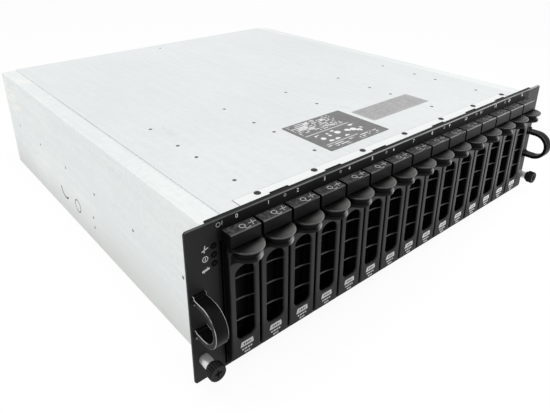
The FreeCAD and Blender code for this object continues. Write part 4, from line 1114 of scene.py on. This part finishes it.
# Stage, in metres: camera, pale floor, world and lamps
CAMERA_AT = (-0.38009, -0.49961, 0.32149)
CAMERA_TURN, CAMERA_TIP, CAMERA_ROLL = math.radians(-39.37), math.radians(23.97), math.radians(-0.33)
CAMERA_LENS, CAMERA_SENSOR = 34.56, 36.0
CAMERA_SHIFT = (0.0135, -0.1131)
WHITE = (1, 1, 1, 1)
WORLD_LIGHT = 0.5
FLOOR_HALF, FLOOR_HEIGHT, FLOOR_GLOW = 6.0, -0.0004, 0.93
# Each lamp's name, place, aim, size and power
LAMPS = (("top_softbox", (-0.2, -0.1, 1.9), (0, 0, 0), 1.6, 22.0),
         ("front_softbox", (0.3, -0.52, 0.2), (0.15, -0.25, 0.06), 0.3, 1.2),
         ("left_softbox", (-1.9, 0.1, 0.9), (0, 0, 0.05), 1.2, 7.0))


def make_camera():
    level = Vector((math.cos(CAMERA_TURN), math.sin(CAMERA_TURN), 0))
    away = Vector((level.y, -level.x, 0)) * math.cos(CAMERA_TIP)
    back = away + Vector((0, 0, math.sin(CAMERA_TIP)))
    over = back.cross(level)
    right = level * math.cos(CAMERA_ROLL) + over * math.sin(CAMERA_ROLL)
    up = over * math.cos(CAMERA_ROLL) - level * math.sin(CAMERA_ROLL)
    data = bpy.data.cameras.new("camera")
    data.sensor_width = CAMERA_SENSOR
    data.lens = CAMERA_LENS
    data.shift_x, data.shift_y = CAMERA_SHIFT
    data.clip_start = 0.02
    data.clip_end = 50.0
    camera = bpy.data.objects.new("camera", data)
    bpy.context.collection.objects.link(camera)
    facing = Matrix((right, up, back)).transposed().to_4x4()
    camera.matrix_world = Matrix.Translation(CAMERA_AT) @ facing
    bpy.context.scene.camera = camera


def seen_directly(sheet):
    """One for rays that show the background itself, straight, by a mirror or through glass."""
    camera, glossy, through = (sheet.add("LightPath", {}, {}, f"Is {kind} Ray")
                               for kind in ("Camera", "Glossy", "Transmission"))
    return sheet.larger(camera, sheet.larger(glossy, through))


def make_world():
    world = bpy.data.worlds.new("studio")
    bpy.context.scene.world = world
    sheet = NodeSheet(world)
    ground = sheet.tree.nodes["Background"]
    ground.inputs["Color"].default_value = WHITE
    sheet.feed(ground.inputs["Strength"], seen_directly(sheet) * (1 - WORLD_LIGHT) + WORLD_LIGHT)


def make_floor():
    edge = FLOOR_HALF
    corners = [(-edge, -edge, 0), (edge, -edge, 0), (edge, edge, 0), (-edge, edge, 0)]
    mesh = bpy.data.meshes.new("floor")
    mesh.from_pydata(corners, [], [(0, 1, 2, 3)])
    floor = bpy.data.objects.new("floor", mesh)
    floor.location.z = FLOOR_HEIGHT
    bpy.context.collection.objects.link(floor)
    finish = Finish("pale_floor").rough(0.9).specular(0.1)
    seen = seen_directly(finish)
    finish.colour(finish.mix(seen, tone(176), tone(250)))
    glow = finish.add("Emission", {}, {"Color": WHITE, "Strength": 1.0})
    plain = Value(finish, finish.shader.outputs[0])
    shown = finish.add("MixShader", {}, {0: seen * FLOOR_GLOW, 1: plain, 2: glow})
    finish.feed(finish.tree.nodes["Material Output"].inputs["Surface"], shown)
    mesh.materials.append(finish.material)


def make_lamp(name, place, aim, size, power):
    data = bpy.data.lights.new(name, "AREA")
    data.size = size
    data.energy = power
    made = bpy.data.objects.new(name, data)
    made.location = place
    made.rotation_euler = (Vector(aim) - Vector(place)).to_track_quat("-Z", "Y").to_euler()
    made.visible_glossy = False
    made.visible_camera = False
    bpy.context.collection.objects.link(made)


def make_stage():
    make_camera()
    make_world()
    make_floor()
    for lamp in LAMPS:
        make_lamp(*lamp)
    bpy.context.scene.view_settings.view_transform = "Standard"


make_levers()
make_block_marks()
make_panel_print()
make_lenses()
make_knobs()
make_screws()
make_sheet_marks()
make_cover_marks()
make_stickers()
make_rear_fittings()
dress_nodes()
make_stage()
